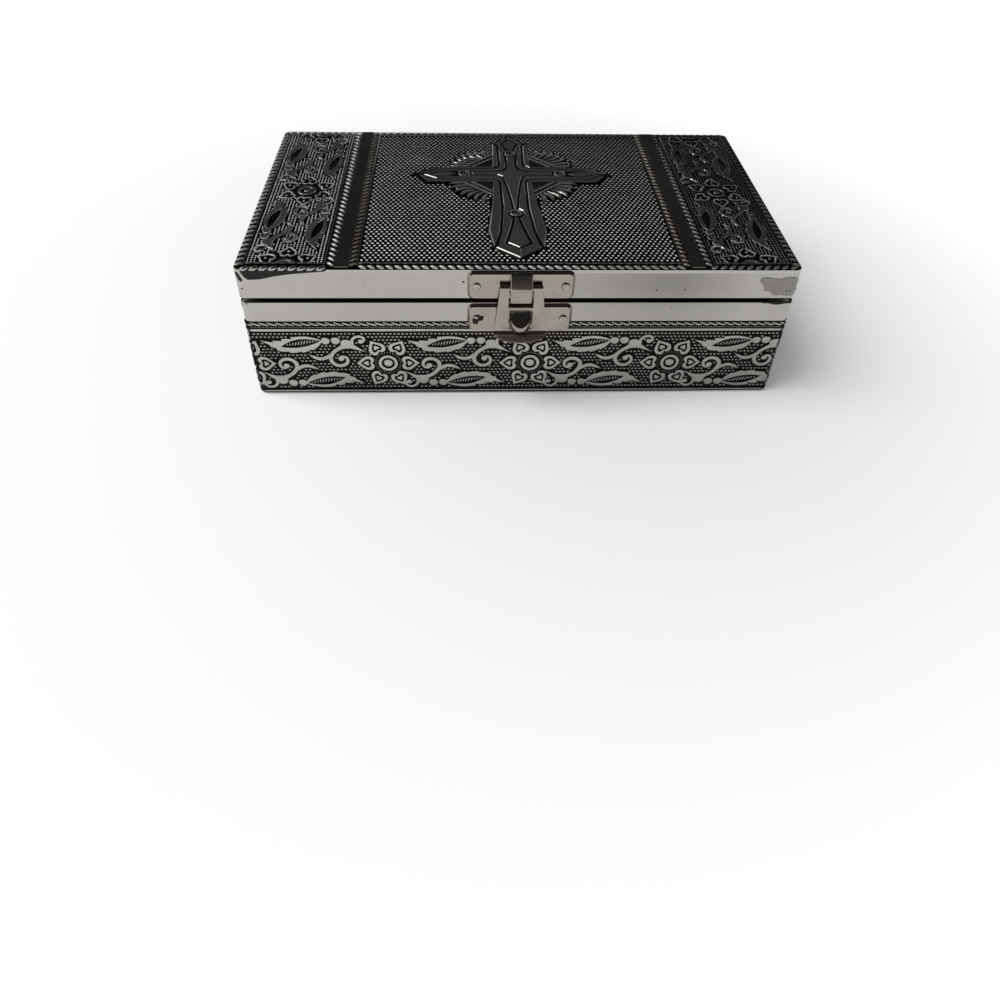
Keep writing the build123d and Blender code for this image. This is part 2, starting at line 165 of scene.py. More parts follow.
def editedWhere(piece, kind, wanted, operator, **settings):
    # one mesh operator, used on the points, edges or faces that the test wants
    pick(piece)
    bpy.ops.object.mode_set(mode="EDIT")
    bpy.ops.mesh.select_mode(type=kind)
    bpy.ops.mesh.select_all(action="DESELECT")
    bpy.ops.object.mode_set(mode="OBJECT")
    mesh = piece.data
    for part in {"VERT": mesh.vertices, "EDGE": mesh.edges, "FACE": mesh.polygons}[kind]:
        part.select = wanted(part)
    bpy.ops.object.mode_set(mode="EDIT")
    operator(**settings)
    bpy.ops.object.mode_set(mode="OBJECT")
    return piece


def eased(piece, wanted, width, segments, clamped=True):
    # rounds the edges that the test picks by their middle and the directions of their two faces
    facing = {}
    for face in piece.data.polygons:
        for key in face.edge_keys:
            facing.setdefault(key, []).append(face.normal.copy())

    def chosen(edge):
        first, second = (piece.data.vertices[n].co for n in edge.vertices)
        return wanted((first + second) / 2, facing.get(edge.key, []))

    bevel = {"offset": width, "segments": segments, "clamp_overlap": clamped}
    return editedWhere(piece, "EDGE", chosen, bpy.ops.mesh.bevel, **bevel)


def drawn(name, lines, closed, steps, **settings):
    # mesh of a curve through points given as (u, v, kind of handle, radius)
    curve = bpy.data.curves.new(name, "CURVE")
    for key, value in settings.items():
        setattr(curve, key, value)
    for route in lines:
        line = curve.splines.new("BEZIER")
        line.bezier_points.add(len(route) - 1)
        line.use_cyclic_u = closed
        line.resolution_u = steps
        for point, (u, v, kind, radius) in zip(line.bezier_points, route):
            point.co = (u, v, 0)
            point.radius = radius
            point.handle_left_type = kind
            point.handle_right_type = kind
    pick(linked(name, curve))
    bpy.ops.object.convert(target="MESH")
    return named(name)


def ridge(name, route, closed=False, steps=3, sides=2):
    # route: (u, v, half width) along the ridge's middle line
    points = [(u, v, "AUTO", half) for u, v, half in route]
    shape = {"dimensions": "3D", "bevel_depth": 1, "bevel_resolution": sides, "use_fill_caps": not closed}
    return drawn(name, [points], closed, steps, **shape)


def plate(name, outlines, rise, edge, smooth=True, rounding=1):
    # flat shape with holes: the first outline is the outer one, and a third value marks a sharp point
    lines = [
        [(u, v, "AUTO" if smooth and not sharp else "VECTOR", 1) for u, v, *sharp in outline]
        for outline in outlines
    ]
    shape = {
        "dimensions": "2D", "fill_mode": "BOTH", "extrude": rise - edge, "bevel_depth": edge,
        "bevel_resolution": rounding, "offset": -edge,
    }
    return edited(
        drawn(name, lines, True, 2, **shape),
        (bpy.ops.mesh.remove_doubles, {"threshold": 0.001}),
        (bpy.ops.mesh.normals_make_consistent, {"inside": False}),
    )


def boss(name, u, v, radius, rise, segments=14, rings=8):
    bpy.ops.mesh.primitive_uv_sphere_add(segments=segments, ring_count=rings, radius=1)
    return moved(named(name), shift(u, v) @ stretch(radius, radius, rise))


def torus(name, major, minor, segments):
    bpy.ops.mesh.primitive_torus_add(
        major_radius=major, minor_radius=minor, major_segments=segments, minor_segments=8,
    )
    return named(name)


def levelled(piece, top):
    # presses every point above the level down to it
    for point in piece.data.vertices:
        point.co.z = min(point.co.z, top)
    return piece


def block(name, low, high):
    bpy.ops.mesh.primitive_cube_add(size=1)
    return moved(named(name), Matrix.Translation((low + high) / 2) @ stretch(*(high - low)))


def bar(name, low, high, edge, segments=2):
    piece = block(name, Vector(low), Vector(high))
    return worked(piece, "BEVEL", width=edge, segments=segments, limit_method="NONE")


def finished(piece, body, finish, nodes, angle, level=0):
    # raised to its level, brought to metres, and handed over
    moved(piece, toMetres @ shift(0, 0, level))
    pick(piece)
    bpy.ops.object.shade_smooth_by_angle(angle=math.radians(angle))
    piece.data.materials.clear()
    piece.data.materials.append(finishes[finish])
    if nodes:
        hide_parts(*nodes)
    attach(piece, body)


# finishes

def blank(name):
    finish = bpy.data.materials.new(name)
    finish.use_nodes = True
    return finish, finish.node_tree, finish.node_tree.nodes["Principled BSDF"]


def fill(tree, node, inputs):
    # a socket is linked and a plain value is set
    for key, value in inputs.items():
        if isinstance(value, bpy.types.NodeSocket):
            tree.links.new(value, node.inputs[key])
        else:
            node.inputs[key].default_value = value


def placed(tree, kind, inputs=(), **settings):
    node = tree.nodes.new(kind)
    for key, value in settings.items():
        setattr(node, key, value)
    fill(tree, node, dict(inputs))
    return node


def spotOf(tree):
    return placed(tree, "ShaderNodeTexCoord").outputs["Object"]


def axesOf(tree, spot):
    return placed(tree, "ShaderNodeSeparateXYZ", {"Vector": spot}).outputs


def noiseOf(tree, spot, scale, detail=4, roughness=0.55):
    inputs = {"Vector": spot, "Scale": scale, "Detail": detail, "Roughness": roughness}
    return placed(tree, "ShaderNodeTexNoise", inputs).outputs["Fac"]


def ranged(tree, value, low, high, toLow=0.0, toHigh=1.0):
    inputs = {"Value": value, "From Min": low, "From Max": high, "To Min": toLow, "To Max": toHigh}
    return placed(tree, "ShaderNodeMapRange", inputs).outputs["Result"]


def spanned(tree, place, low, high, toLow=0.0, toHigh=1.0):
    # between two places or heights in mm
    return ranged(tree, place, low / 1000, high / 1000, toLow, toHigh)


def spread(tree, noise, toLow=0.0, toHigh=1.0):
    # most of a noise lies between 0.3 and 0.7
    return ranged(tree, noise, 0.3, 0.7, toLow, toHigh)


def mixed(tree, share, *colours):
    first, second = ((*colour, 1) if isinstance(colour, tuple) else colour for colour in colours)
    return placed(tree, "ShaderNodeMix", {0: share, 6: first, 7: second}, data_type="RGBA").outputs[2]


def calculated(tree, operation, first, second=0.0):
    return placed(tree, "ShaderNodeMath", {0: first, 1: second}, operation=operation).outputs[0]


def product(tree, first, *others):
    for other in others:
        first = calculated(tree, "MULTIPLY", first, other)
    return first


def bumped(tree, shader, *layers):
    # height, strength and depth in metres of each layer, the coarse one first
    normal = {}
    for height, strength, depth in layers:
        inputs = {"Height": height, "Strength": strength, "Distance": depth, **normal}
        normal = {"Normal": placed(tree, "ShaderNodeBump", inputs).outputs["Normal"]}
    fill(tree, shader, normal)


def heightOf(tree, axes, wall):
    # height in metres above the sheet's ground, on the lid's top or round the body
    if not wall:
        return calculated(tree, "SUBTRACT", axes["Z"], box["lidGround"] / 1000)
    outwards = (
        calculated(tree, "SUBTRACT", calculated(tree, "ABSOLUTE", axes[axis]), box[size] / 2000)
        for axis, size in (("X", "length"), ("Y", "depth"))
    )
    return calculated(tree, "MAXIMUM", *outwards)


embossing = {
    "patchScale": 60,
    "grainScale": 1400,
    "patchBump": (0.1, 0.0004),
    "grainBump": (0.06, 0.00004),
    # the painted shade: heights up the body, places from front to back and from left to right, and the least
    # share left unshaded
    "upwards": (0, 30),
    "backwards": (-45, 55),
    "rightwards": (-100, 100),
    "leastUnshaded": 0.05,
    # heights over which the sheet's folded edge takes the lip's colour
    "lipHeights": (-0.1, -0.25),
    # painted highlight on the sides of the raised work, broken up by noise
    "highlightNoiseScale": 260,
    "highlightBreaks": (0.35, 0.65, 0.1, 0.85),
    "highlightColour": (0.95, 0.93, 0.90),
    "highlightMetal": 0.3,
}


def embossedMetal(
    name, low, high, rise, wall=False, rough=(0.28, 0.42), metal=1.0, tarnish=0.35,
    lip=None, fade=None, rim=None,
):
    # blackened in the hollows, rubbed bright on the raised work, with painted shade and painted highlights
    # where asked
    finish, tree, shader = blank(name)
    spot = spotOf(tree)
    axes = axesOf(tree, spot)
    height = heightOf(tree, axes, wall)
    patch = noiseOf(tree, spot, embossing["patchScale"])
    grain = noiseOf(tree, spot, embossing["grainScale"], 2)
    wearAndShade = product(tree, spanned(tree, height, *rise), spread(tree, patch, 1 - tarnish, 1.0))
    if fade:
        # painted shade: darker towards the right, and towards the back of the lid or the foot of the body
        away, right = fade
        if wall:
            unshaded = spanned(tree, axes["Z"], *embossing["upwards"], 1 - away, 1)
        else:
            unshaded = spanned(tree, axes["Y"], *embossing["backwards"], 1, 1 - away)
        unshaded = calculated(tree, "ADD", unshaded, spanned(tree, axes["X"], *embossing["rightwards"], 0, -right))
        unshaded = calculated(tree, "MAXIMUM", unshaded, embossing["leastUnshaded"])
        wearAndShade = product(tree, wearAndShade, unshaded)
    colour = mixed(tree, wearAndShade, low, high)
    if lip:
        colour = mixed(tree, spanned(tree, height, *embossing["lipHeights"]), colour, lip)
    shader.inputs["Metallic"].default_value = metal
    if rim:
        # painted highlight: the sides of the raised work turned near white and less metallic, its flat top
        # left dark, and dimmed with the painted shade
        sides = product(
            tree, spanned(tree, height, *rim[:2]), spanned(tree, height, *rim[2:], 1, 0),
            ranged(tree, noiseOf(tree, spot, embossing["highlightNoiseScale"]), *embossing["highlightBreaks"]), unshaded,
        )
        colour = mixed(tree, sides, colour, embossing["highlightColour"])
        fill(tree, shader, {"Metallic": ranged(tree, sides, 0, 1, metal, embossing["highlightMetal"])})
    fill(tree, shader, {"Base Color": colour, "Roughness": spread(tree, grain, *rough)})
    bumped(tree, shader, (patch, *embossing["patchBump"]), (grain, *embossing["grainBump"]))
    return finish


plainSheet = {
    "stainLevels": (0.42, 0.75),
    "speckScale": 420,
    "speckLevels": (0.69, 0.76),
    "speckShare": 0.8,
    "markRoughness": 0.15,
    "hairScale": 700,
    "dentDepth": 0.0006,
    "hairBump": (0.04, 0.00002),
    # painted shade on the front: a dark tint that grows and fades between these X, stronger on the lid and
    # gone behind
    "shadeColour": (0.05, 0.045, 0.035),
    "shadeAlongX": ((0, 50, 0, 0.44), (58, 82, 1, 0.15)),
    "shadeAlongZ": (36, 48, 0.4, 1),
    "shadeAlongY": (-30, 30, 1, 0),
    # browner and less metallic beyond this Y, out at the front of the hasp
    "tipAlongY": (-64.2, -65.2),
    "tipColour": (0.075, 0.064, 0.05),
    "tipMetal": 0.5,
}


def plainMetal(name, light, dark, rough, stains, dents, scale, paintedShade=False, tip=False):
    # smooth sheet or plate with faint stains, hairlines and shallow dents
    finish, tree, shader = blank(name)
    spot = spotOf(tree)
    cloud = noiseOf(tree, spot, scale, 6, 0.6)
    specks = noiseOf(tree, spot, plainSheet["speckScale"], 3, 0.5)
    hairs = noiseOf(tree, spot, plainSheet["hairScale"], 3)
    veil = ranged(tree, cloud, *plainSheet["stainLevels"], 0.0, stains)
    spotted = ranged(tree, specks, *plainSheet["speckLevels"], 0.0, plainSheet["speckShare"])
    marks = calculated(tree, "MAXIMUM", veil, spotted)
    colour = mixed(tree, marks, light, dark)
    shader.inputs["Metallic"].default_value = 1.0
    if paintedShade:
        # painted shade: a dark tint from the front's middle towards its right end, strongest up on the lid's
        # strip and gone behind
        axes = axesOf(tree, spot)
        grown, gone = plainSheet["shadeAlongX"]
        shadeShare = product(
            tree, spanned(tree, axes["X"], *grown), spanned(tree, axes["X"], *gone),
            spanned(tree, axes["Z"], *plainSheet["shadeAlongZ"]),
            spanned(tree, axes["Y"], *plainSheet["shadeAlongY"]),
        )
        colour = mixed(tree, shadeShare, colour, plainSheet["shadeColour"])
    if tip:
        tipShare = spanned(tree, axesOf(tree, spot)["Y"], *plainSheet["tipAlongY"])
        colour = mixed(tree, tipShare, colour, plainSheet["tipColour"])
        fill(tree, shader, {"Metallic": ranged(tree, tipShare, 0, 1, 1.0, plainSheet["tipMetal"])})
    roughened = product(tree, marks, plainSheet["markRoughness"])
    roughness = calculated(tree, "ADD", spread(tree, hairs, *rough), roughened)
    fill(tree, shader, {"Base Color": colour, "Roughness": roughness})
    bumped(tree, shader, (cloud, dents, plainSheet["dentDepth"]), (hairs, *plainSheet["hairBump"]))
    return finish


nap = {
    "layScale": 45,
    "leastLay": 0.55,
    "sheenRoughness": 0.4,
}


def fibrous(name, light, dark, scale, detail, rough, bump, sheen=0):
    # board, or with sheen a cloth whose pile lies differently from place to place
    finish, tree, shader = blank(name)
    spot = spotOf(tree)
    pile = noiseOf(tree, spot, scale, detail, 0.7)
    share = pile
    if sheen:
        lay = noiseOf(tree, spot, nap["layScale"], 3)
        share = product(tree, spread(tree, pile), spread(tree, lay, nap["leastLay"], 1.0))
        fill(tree, shader, {"Sheen Weight": sheen, "Sheen Roughness": nap["sheenRoughness"]})
    colour = mixed(tree, share, dark, light)
    fill(tree, shader, {"Base Color": colour, "Roughness": spread(tree, pile, *rough)})
    bumped(tree, shader, (pile, *bump))
    return finish


hollows = {
    "soot": (0.006, 0.0055, 0.005),
    "pitch": (0.008, 0.007, 0.006),
    "char": (0.010, 0.009, 0.008),
    "jet": (0.012, 0.011, 0.010),
    "coal": (0.02, 0.018, 0.016),
}
stripLight = (0.47, 0.455, 0.425)
nickel = ((0.375, 0.343, 0.300), (0.20, 0.175, 0.15), (0.18, 0.24), 0.5, 0.1, 90)
boardFeel = (900, 6, (0.75, 0.9), (0.4, 0.0001))
napFeel = (5, (0.8, 0.9), (0.6, 0.0003))

embossedFinishes = {
    # colour of the hollows and of the raised work, heights in mm between which it changes, what else differs
    "lidGround": ("soot", (0.10, 0.095, 0.09), (0.1, 0.6), {"rough": (0.2, 0.3), "lip": stripLight}),
    # dots and ribs: near-white, partly metallic tops, partly rubbed silver and partly a painted highlight
    "lidBeads": (
        "char", (0.95, 0.93, 0.90), (0.1, 0.26),
        {"rough": (0.2, 0.3), "metal": 0.35, "tarnish": 0.3, "fade": (0.62, 0.33)},
    ),
    "lidRibs": (
        "char", (0.86, 0.84, 0.81), (0.07, 0.22),
        {"rough": (0.2, 0.3), "metal": 0.35, "tarnish": 0.4, "fade": (0.45, 0.85)},
    ),
    "lidRelief": (
        "coal", (0.50, 0.48, 0.45), (0.1, 0.3),
        # rim: heights of the painted highlight on the sides of the raised work
        {"rough": (0.14, 0.2), "metal": 0.93, "fade": (0.3, 0.4), "rim": (0.32, 0.42, 0.5, 0.56)},
    ),
    "lidLine": (
        "jet", (0.42, 0.40, 0.37), (0.0, 0.2), {"rough": (0.16, 0.22), "metal": 0.94, "fade": (0.3, 0.3)},
    ),
    "lidBar": ("coal", (0.27, 0.25, 0.225), (0.0, 0.2), {"rough": (0.14, 0.2), "metal": 0.98}),
    "lidFan": (
        "soot", (0.5, 0.48, 0.45), (0.32, 0.6), {"rough": (0.16, 0.22), "metal": 0.86, "tarnish": 0.25},
    ),
    "lidRope": (
        "jet", (0.88, 0.86, 0.82), (-0.2, 0.15),
        {"rough": (0.18, 0.26), "metal": 0.68, "tarnish": 0.4, "fade": (0.3, 0.75)},
    ),
    "lidInnerRope": (
        "jet", (0.40, 0.36, 0.31), (-0.1, 0.2),
        {"rough": (0.2, 0.28), "metal": 0.7, "tarnish": 0.5, "fade": (0.2, 0.3)},
    ),
    "lidCross": (
        "soot", (0.46, 0.44, 0.41), (0.37, 0.5), {"rough": (0.14, 0.2), "metal": 0.95, "tarnish": 0.2},
    ),
    "bandGround": ("pitch", (0.02, 0.019, 0.018), (-0.1, 0.3), {"wall": True}),
    "bandBeads": ("jet", (0.52, 0.505, 0.475), (0.05, 0.3), {"wall": True, "fade": (0.3, 0.2)}),
    "bandRelief": (
        "jet", (0.63, 0.615, 0.585), (0.14, 0.38), {"wall": True, "tarnish": 0.3, "fade": (0.3, 0.3)},
    ),
}
plainFinishes = {
    # light, dark, roughness, stains, dents, how fine they are, what else differs
    "foilLap": ((0.25, 0.24, 0.225), (0.16, 0.152, 0.14), (0.26, 0.34), 0.35, 0.5, 90),
    "brightStrip": (stripLight, (0.36, 0.345, 0.315), (0.2, 0.24), 0.35, 0.2, 25, True),
    "latchNickel": nickel,
    "haspNickel": (*nickel, False, True),
    "nailSteel": ((0.46, 0.43, 0.39), (0.20, 0.17, 0.14), (0.24, 0.32), 0.6, 0.25, 300),
    "hingeBrass": ((0.55, 0.40, 0.19), (0.22, 0.15, 0.07), (0.26, 0.38), 0.6, 0.25, 160),
}
fibrousFinishes = {
    "corrosion": ((0.014, 0.012, 0.010), (0.004, 0.0035, 0.003), *boardFeel),
    "fibreboard": ((0.26, 0.17, 0.10), (0.15, 0.09, 0.05), *boardFeel),
    "velvet": ((0.16, 0.012, 0.022), (0.045, 0.004, 0.008), 2600, *napFeel, 0.6),
    "coverFelt": ((0.030, 0.030, 0.032), (0.010, 0.010, 0.011), 1500, *napFeel, 0.3),
}


def titled(key):
    return key[0].upper() + key[1:]


finishes = {}
for key, (hollow, *values, rest) in embossedFinishes.items():
    finishes[key] = embossedMetal(titled(key), hollows[hollow], *values, **rest)
for make, table in ((plainMetal, plainFinishes), (fibrous, fibrousFinishes)):
    for key, values in table.items():
        finishes[key] = make(titled(key), *values)
print("finishes made")


# camera, floor and light

cameraView = {
    "place": (-0.0196, -0.3087, 0.2004),
    "down": 44.29,
    "aside": 3.243,
    "lean": 1.758,
    "lens": 28.984,
    "sensor": 36,
    "shiftY": -0.03,
    "nearest": 0.01,
}


def setCamera():
    data = bpy.data.cameras.new("Camera")
    data.lens = cameraView["lens"]
    data.sensor_width = cameraView["sensor"]
    data.shift_y = cameraView["shiftY"]
    data.clip_start = cameraView["nearest"]
    camera = linked("Camera", data)
    facing = turn(-cameraView["aside"]) @ turn(90 - cameraView["down"], "X") @ turn(cameraView["lean"])
    camera.matrix_world = shift(*cameraView["place"]) @ facing
    bpy.context.scene.camera = camera


studio = {
    "floorSize": 8,
    "floorColours": ((0.8668, 0.8668, 0.861875), (0.88, 0.88, 0.875)),
    "floorCloud": 3,
    "floorRoughness": 0.8,
    "whiteBeyond": (0.08, 0.25),
    "horizon": (0.92, 0.92, 0.93),
    "ceiling": (0.03, 0.03, 0.032),
    "skyEdges": (0.02, 0.22),
    # the bright side of the room, where it begins, and how much higher it reaches there
    "brightSide": (-0.42, -0.91, 0),
    "brightFrom": (-0.1, 0.6),
    "brightHeight": 0.13,
    # where the horizon dims to the right, and how far
    "rightFrom": (-0.3, 0.7),
    "rightShare": 0.45,
    "lampsFace": (0, 0, 0.03),
    "lamps": (
        # place, size, watts, seen in gloss
        ((-0.7, -0.2, 1.1), 1.0, 16.5, False),
        ((-0.5, -1.1, 0.7), 0.8, 2.5, False),
        ((-0.86, 0.06, 0.74), 0.46, 1.9, True),
    ),
}
white = (1, 1, 1)


def setFloor():
    # pale and lit near the box, plain white farther off
    bpy.ops.mesh.primitive_plane_add(size=studio["floorSize"])
    floor = named("Floor")
    finish, tree, shader = blank("FloorPaint")
    spot = spotOf(tree)
    cloud = noiseOf(tree, spot, studio["floorCloud"])
    paint = mixed(tree, cloud, *studio["floorColours"])
    fill(tree, shader, {"Base Color": paint, "Roughness": studio["floorRoughness"]})
    distance = placed(tree, "ShaderNodeVectorMath", {0: spot}, operation="LENGTH").outputs["Value"]
    far = ranged(tree, distance, *studio["whiteBeyond"])
    rays = placed(tree, "ShaderNodeLightPath").outputs
    seen = calculated(tree, "MAXIMUM", rays["Is Camera Ray"], rays["Is Glossy Ray"])
    seen = calculated(tree, "MAXIMUM", seen, rays["Is Transmission Ray"])
    glow = placed(tree, "ShaderNodeEmission", {"Color": (*white, 1)}).outputs[0]
    parts = {0: product(tree, seen, far), 1: shader.outputs[0], 2: glow}
    blend = placed(tree, "ShaderNodeMixShader", parts).outputs[0]
    fill(tree, tree.nodes["Material Output"], {"Surface": blend})
    floor.data.materials.append(finish)


def setSky():
    world = bpy.data.worlds.new("Studio")
    bpy.context.scene.world = world
    world.use_nodes = True
    tree = world.node_tree
    direction = placed(tree, "ShaderNodeTexCoord").outputs["Generated"]
    axes = axesOf(tree, direction)
    sides = {0: direction, 1: studio["brightSide"]}
    towards = placed(tree, "ShaderNodeVectorMath", sides, operation="DOT_PRODUCT").outputs["Value"]
    bright = ranged(tree, towards, *studio["brightFrom"], 0, studio["brightHeight"])
    share = ranged(tree, calculated(tree, "SUBTRACT", axes["Z"], bright), *studio["skyEdges"])
    right = ranged(tree, axes["X"], *studio["rightFrom"])
    dimmed = tuple(studio["rightShare"] * part for part in studio["horizon"])
    level = mixed(tree, right, studio["horizon"], dimmed)
    colour = mixed(tree, share, level, studio["ceiling"])
    camera = placed(tree, "ShaderNodeLightPath").outputs["Is Camera Ray"]
    fill(tree, tree.nodes["Background"], {"Color": mixed(tree, camera, colour, white)})


def setLamps():
    for place, size, watts, glossy in studio["lamps"]:
        data = bpy.data.lights.new("Softbox", "AREA")
        data.shape = "DISK"
        data.size = size
        data.energy = watts
        lamp = linked("Softbox", data)
        aim = (Vector(studio["lampsFace"]) - Vector(place)).to_track_quat("-Z", "Y").to_matrix().to_4x4()
        lamp.matrix_world = shift(*place) @ aim
        lamp.visible_glossy = glossy


setCamera()
setFloor()
setSky()
setLamps()
bpy.context.scene.view_settings.view_transform = "Standard"
print("studio set")


# the embossed motif: a flower with six hearts, and a scroll with a leaf on each side

motif = {
    "pitch": 54.0,
    "lift": 0.08,
    "edge": 0.24,
    # level of the flat tops, fine work in the leaves and round the ring, middle boss, hollow petals
    "onBand": {"top": 0.42, "ribs": 11, "ticks": 30, "middle": 1.75, "loops": False},
    "onLid": {"top": 0.5, "ribs": 0, "ticks": 0, "middle": 1.25, "loops": True},
    # how far one flat top lies from the next, how flat the scrolls are, and how high the round bosses
    "step": 0.015,
    "squash": 0.7,
    "bossRise": 0.8,
    # how far leaves and petals stand above the other flat tops
    "proud": 0.02,
    "ringRadius": 3.05,
    "ringHalf": 0.72,
    "heartAt": 8.3,
    "heart": [(3.7, 0, 1), (2.0, 1.5), (0.5, 2.9), (-1.4, 3.25), (-2.9, 2.3), (-3.0, 0.9), (-2.2, 0, 1)],
    "heartHole": [(2.0, 0, 1), (0.8, 1.05), (-0.3, 1.8), (-1.4, 1.75), (-1.75, 0.9), (-1.3, 0, 1)],
    # a looped petal's size, half width and middle
    "loopSize": 0.84,
    "loopHalf": 0.44,
    "loopCore": (0.2, 0, 0.6, 0.42),
    "coreEdge": 0.16,
    "heartCore": [(1.1, 0, 1), (0.1, 0.85), (-0.9, 1.05), (-0.8, 0, 1)],
    "tickAt": 4.75,
    "tickSize": (0.62, 0.17, 0.36),
    "turnAbout": (-0.95, 0.5),
    "spiral": [
        (-7.0, 4.7, 0.15), (-9.8, 6.0, 0.5), (-12.0, 7.3, 1.1), (-14.6, 7.9, 1.5), (-18.1, 6.6, 0.95),
        (-20.5, 4.4, 0.95), (-21.4, 2.0, 1.0), (-20.4, -0.2, 0.95), (-17.9, -1.1, 0.9), (-15.6, 0.0, 0.85),
        (-15.1, 1.7, 0.75), (-16.3, 3.1, 0.7), (-17.8, 2.4, 0.9),
    ],
    "comma": [
        (-29.8, 4.4, 0.12), (-27.6, 2.9, 0.75), (-25.1, 2.1, 1.0), (-22.8, 2.7, 0.95), (-21.2, 4.0, 0.7),
    ],
    "curl": [
        (-12.9, 8.0, 1.1), (-12.7, 10.4, 0.7), (-11.2, 11.9, 0.68), (-9.3, 12.0, 0.65), (-8.2, 10.9, 0.65),
        (-8.9, 9.8, 0.7),
    ],
    # place and radius of the round bosses along the scroll
    "bosses": (
        (-14.9, 8.8, 2.3), (-18.8, 10.3, 1.8), (-22.5, 10.2, 1.75), (-17.5, 2.1, 1.25), (-9.5, 9.9, 1.1),
    ),
    "leaf": [
        (-23.4, 10.3, 1), (-25.0, 11.3), (-27.4, 12.0), (-29.9, 12.4), (-32.7, 12.3), (-35.2, 12.0, 1),
        (-34.9, 11.0, 1), (-36.4, 11.4), (-38.7, 11.1, 1), (-38.3, 10.2, 1), (-40.0, 10.5), (-42.0, 10.4, 1),
        (-41.6, 9.7, 1), (-44.0, 10.2), (-46.6, 10.7, 1), (-44.2, 9.0), (-43.0, 8.3, 1), (-43.2, 7.8, 1),
        (-41.9, 7.2), (-40.9, 6.9, 1), (-40.9, 6.1, 1), (-39.0, 5.4), (-36.4, 5.4, 1), (-36.2, 4.8, 1),
        (-33.9, 4.9), (-31.9, 5.4, 1), (-31.6, 4.9, 1), (-29.6, 5.4), (-28.0, 6.3, 1), (-27.4, 6.0, 1),
        (-25.6, 7.4), (-24.6, 8.6),
    ],
    "slit": [
        (-39.2, 7.7, 1), (-36.2, 9.5), (-33.2, 10.7), (-29.6, 11.0), (-24.2, 10.3, 1), (-27.2, 8.9),
        (-31.2, 7.7), (-35.0, 7.3),
    ],
    # the veins in the leaf: first and last, size, turn, and how short the end ones are
    "ribFrom": (-36.8, 8.4),
    "ribTo": (-26.0, 10.1),
    "ribSize": (1.4, 0.3, 0.4),
    "ribTurn": 72,
    "ribShortest": 0.45,
    # the plain covers that keep the beads away
    "clearDisc": (6.4, 0.6),
    "shadeRise": 0.4,
    "shadeEdge": 0.1,
}
aboutU, aboutV = motif["turnAbout"]
halfTurn = shift(2 * aboutU, 2 * aboutV) @ turn(180)


def sixfold(piece):
    return [copied(piece, turn(angle)) for angle in range(60, 360, 60)] + [piece]


def makePetal(style):
    heart = mirrored(motif["heart"], 1)
    if style["loops"]:
        size = motif["loopSize"]
        loop = [(size * u, size * v, motif["loopHalf"]) for u, v, *sharp in heart]
        rim = ridge("Petal", loop, closed=True)
        core = boss("PetalCore", *motif["loopCore"])
    else:
        hole = mirrored(motif["heartHole"], 1)
        rim = plate("Petal", [heart, hole], style["top"] + motif["proud"], motif["edge"])
        core = plate("PetalCore", [mirrored(motif["heartCore"], 1)], style["top"], motif["coreEdge"])
    return moved(joined("Petal", [rim, core]), shift(motif["heartAt"], 0))


def makeFlower(style):
    top = style["top"]
    parts = [
        levelled(torus("Ring", motif["ringRadius"], motif["ringHalf"], 32), top),
        levelled(boss("Middle", 0, 0, style["middle"], motif["bossRise"], 18, 10), top),
    ]
    parts += sixfold(makePetal(style))
    tick = boss("Tick", 0, 0, 1, 1, 6, 4)
    moved(tick, shift(motif["tickAt"], 0) @ stretch(*motif["tickSize"]))
    parts += [copied(tick, turn((n + 0.5) * 360 / style["ticks"])) for n in range(style["ticks"])]
    bpy.data.objects.remove(tick)
    return joined("Flower", parts)


def makeScroll(style):
    # each part ends at a level of its own, so that no two flat tops coincide
    parts = []
    top, step = style["top"], motif["step"]
    for n, name in enumerate(("spiral", "comma", "curl")):
        piece = moved(ridge(name.title(), motif[name]), stretch(1, 1, motif["squash"]))
        parts.append(levelled(piece, top - step * (n + 1)))
    for n, (u, v, radius) in enumerate(motif["bosses"]):
        parts.append(levelled(boss("Boss", u, v, radius, motif["bossRise"]), top + step * (n % 2)))
    parts.append(plate("Leaf", [motif["leaf"], motif["slit"]], top + motif["proud"], motif["edge"]))
    rib = boss("Rib", 0, 0, 1, 1, 6, 4)
    (firstU, firstV), (lastU, lastV) = motif["ribFrom"], motif["ribTo"]
    long, half, rise = motif["ribSize"]
    for n in range(style["ribs"]):
        share = n / (style["ribs"] - 1)
        place = shift(between((firstU, lastU), share), between((firstV, lastV), share))
        size = between((motif["ribShortest"], 1), math.sin(math.pi * share))
        parts.append(copied(rib, place @ turn(motif["ribTurn"]) @ stretch(size * long, half, rise)))
    bpy.data.objects.remove(rib)
    return joined("Scroll", parts)


def makeMotif(style):
    flower = makeFlower(style)
    scroll = makeScroll(style)
    whole = joined("Motif", [flower, scroll, copied(scroll, halfTurn)])
    return moved(whole, shift(0, 0, motif["lift"]))


def makeShade():
    # filled shapes under which the ground carries no beads
    rise, edge = motif["shadeRise"], motif["shadeEdge"]
    disc = boss("Shade", 0, 0, *motif["clearDisc"], 24, 4)
    heart = moved(plate("Shade", [mirrored(motif["heart"], 1)], rise, edge), shift(motif["heartAt"], 0))
    leaf = plate("Shade", [motif["leaf"]], rise, edge)
    return joined("Shade", [disc, leaf, copied(leaf, halfTurn), *sixfold(heart)])


bandMotif = makeMotif(motif["onBand"])
lidMotif = makeMotif(motif["onLid"])
shadeMotif = makeShade()
print("motif made,", len(bandMotif.data.polygons), "faces")


# beads, ropes and lines

def makeBead(radiusU, radiusV, rise, sides=6):
    bead = boss("Bead", 0, 0, 1, 1, sides, 6)
    return moved(trimmed(bead, (0, 0, 0.001), (0, 0, 1)), stretch(radiusU, radiusV, rise))


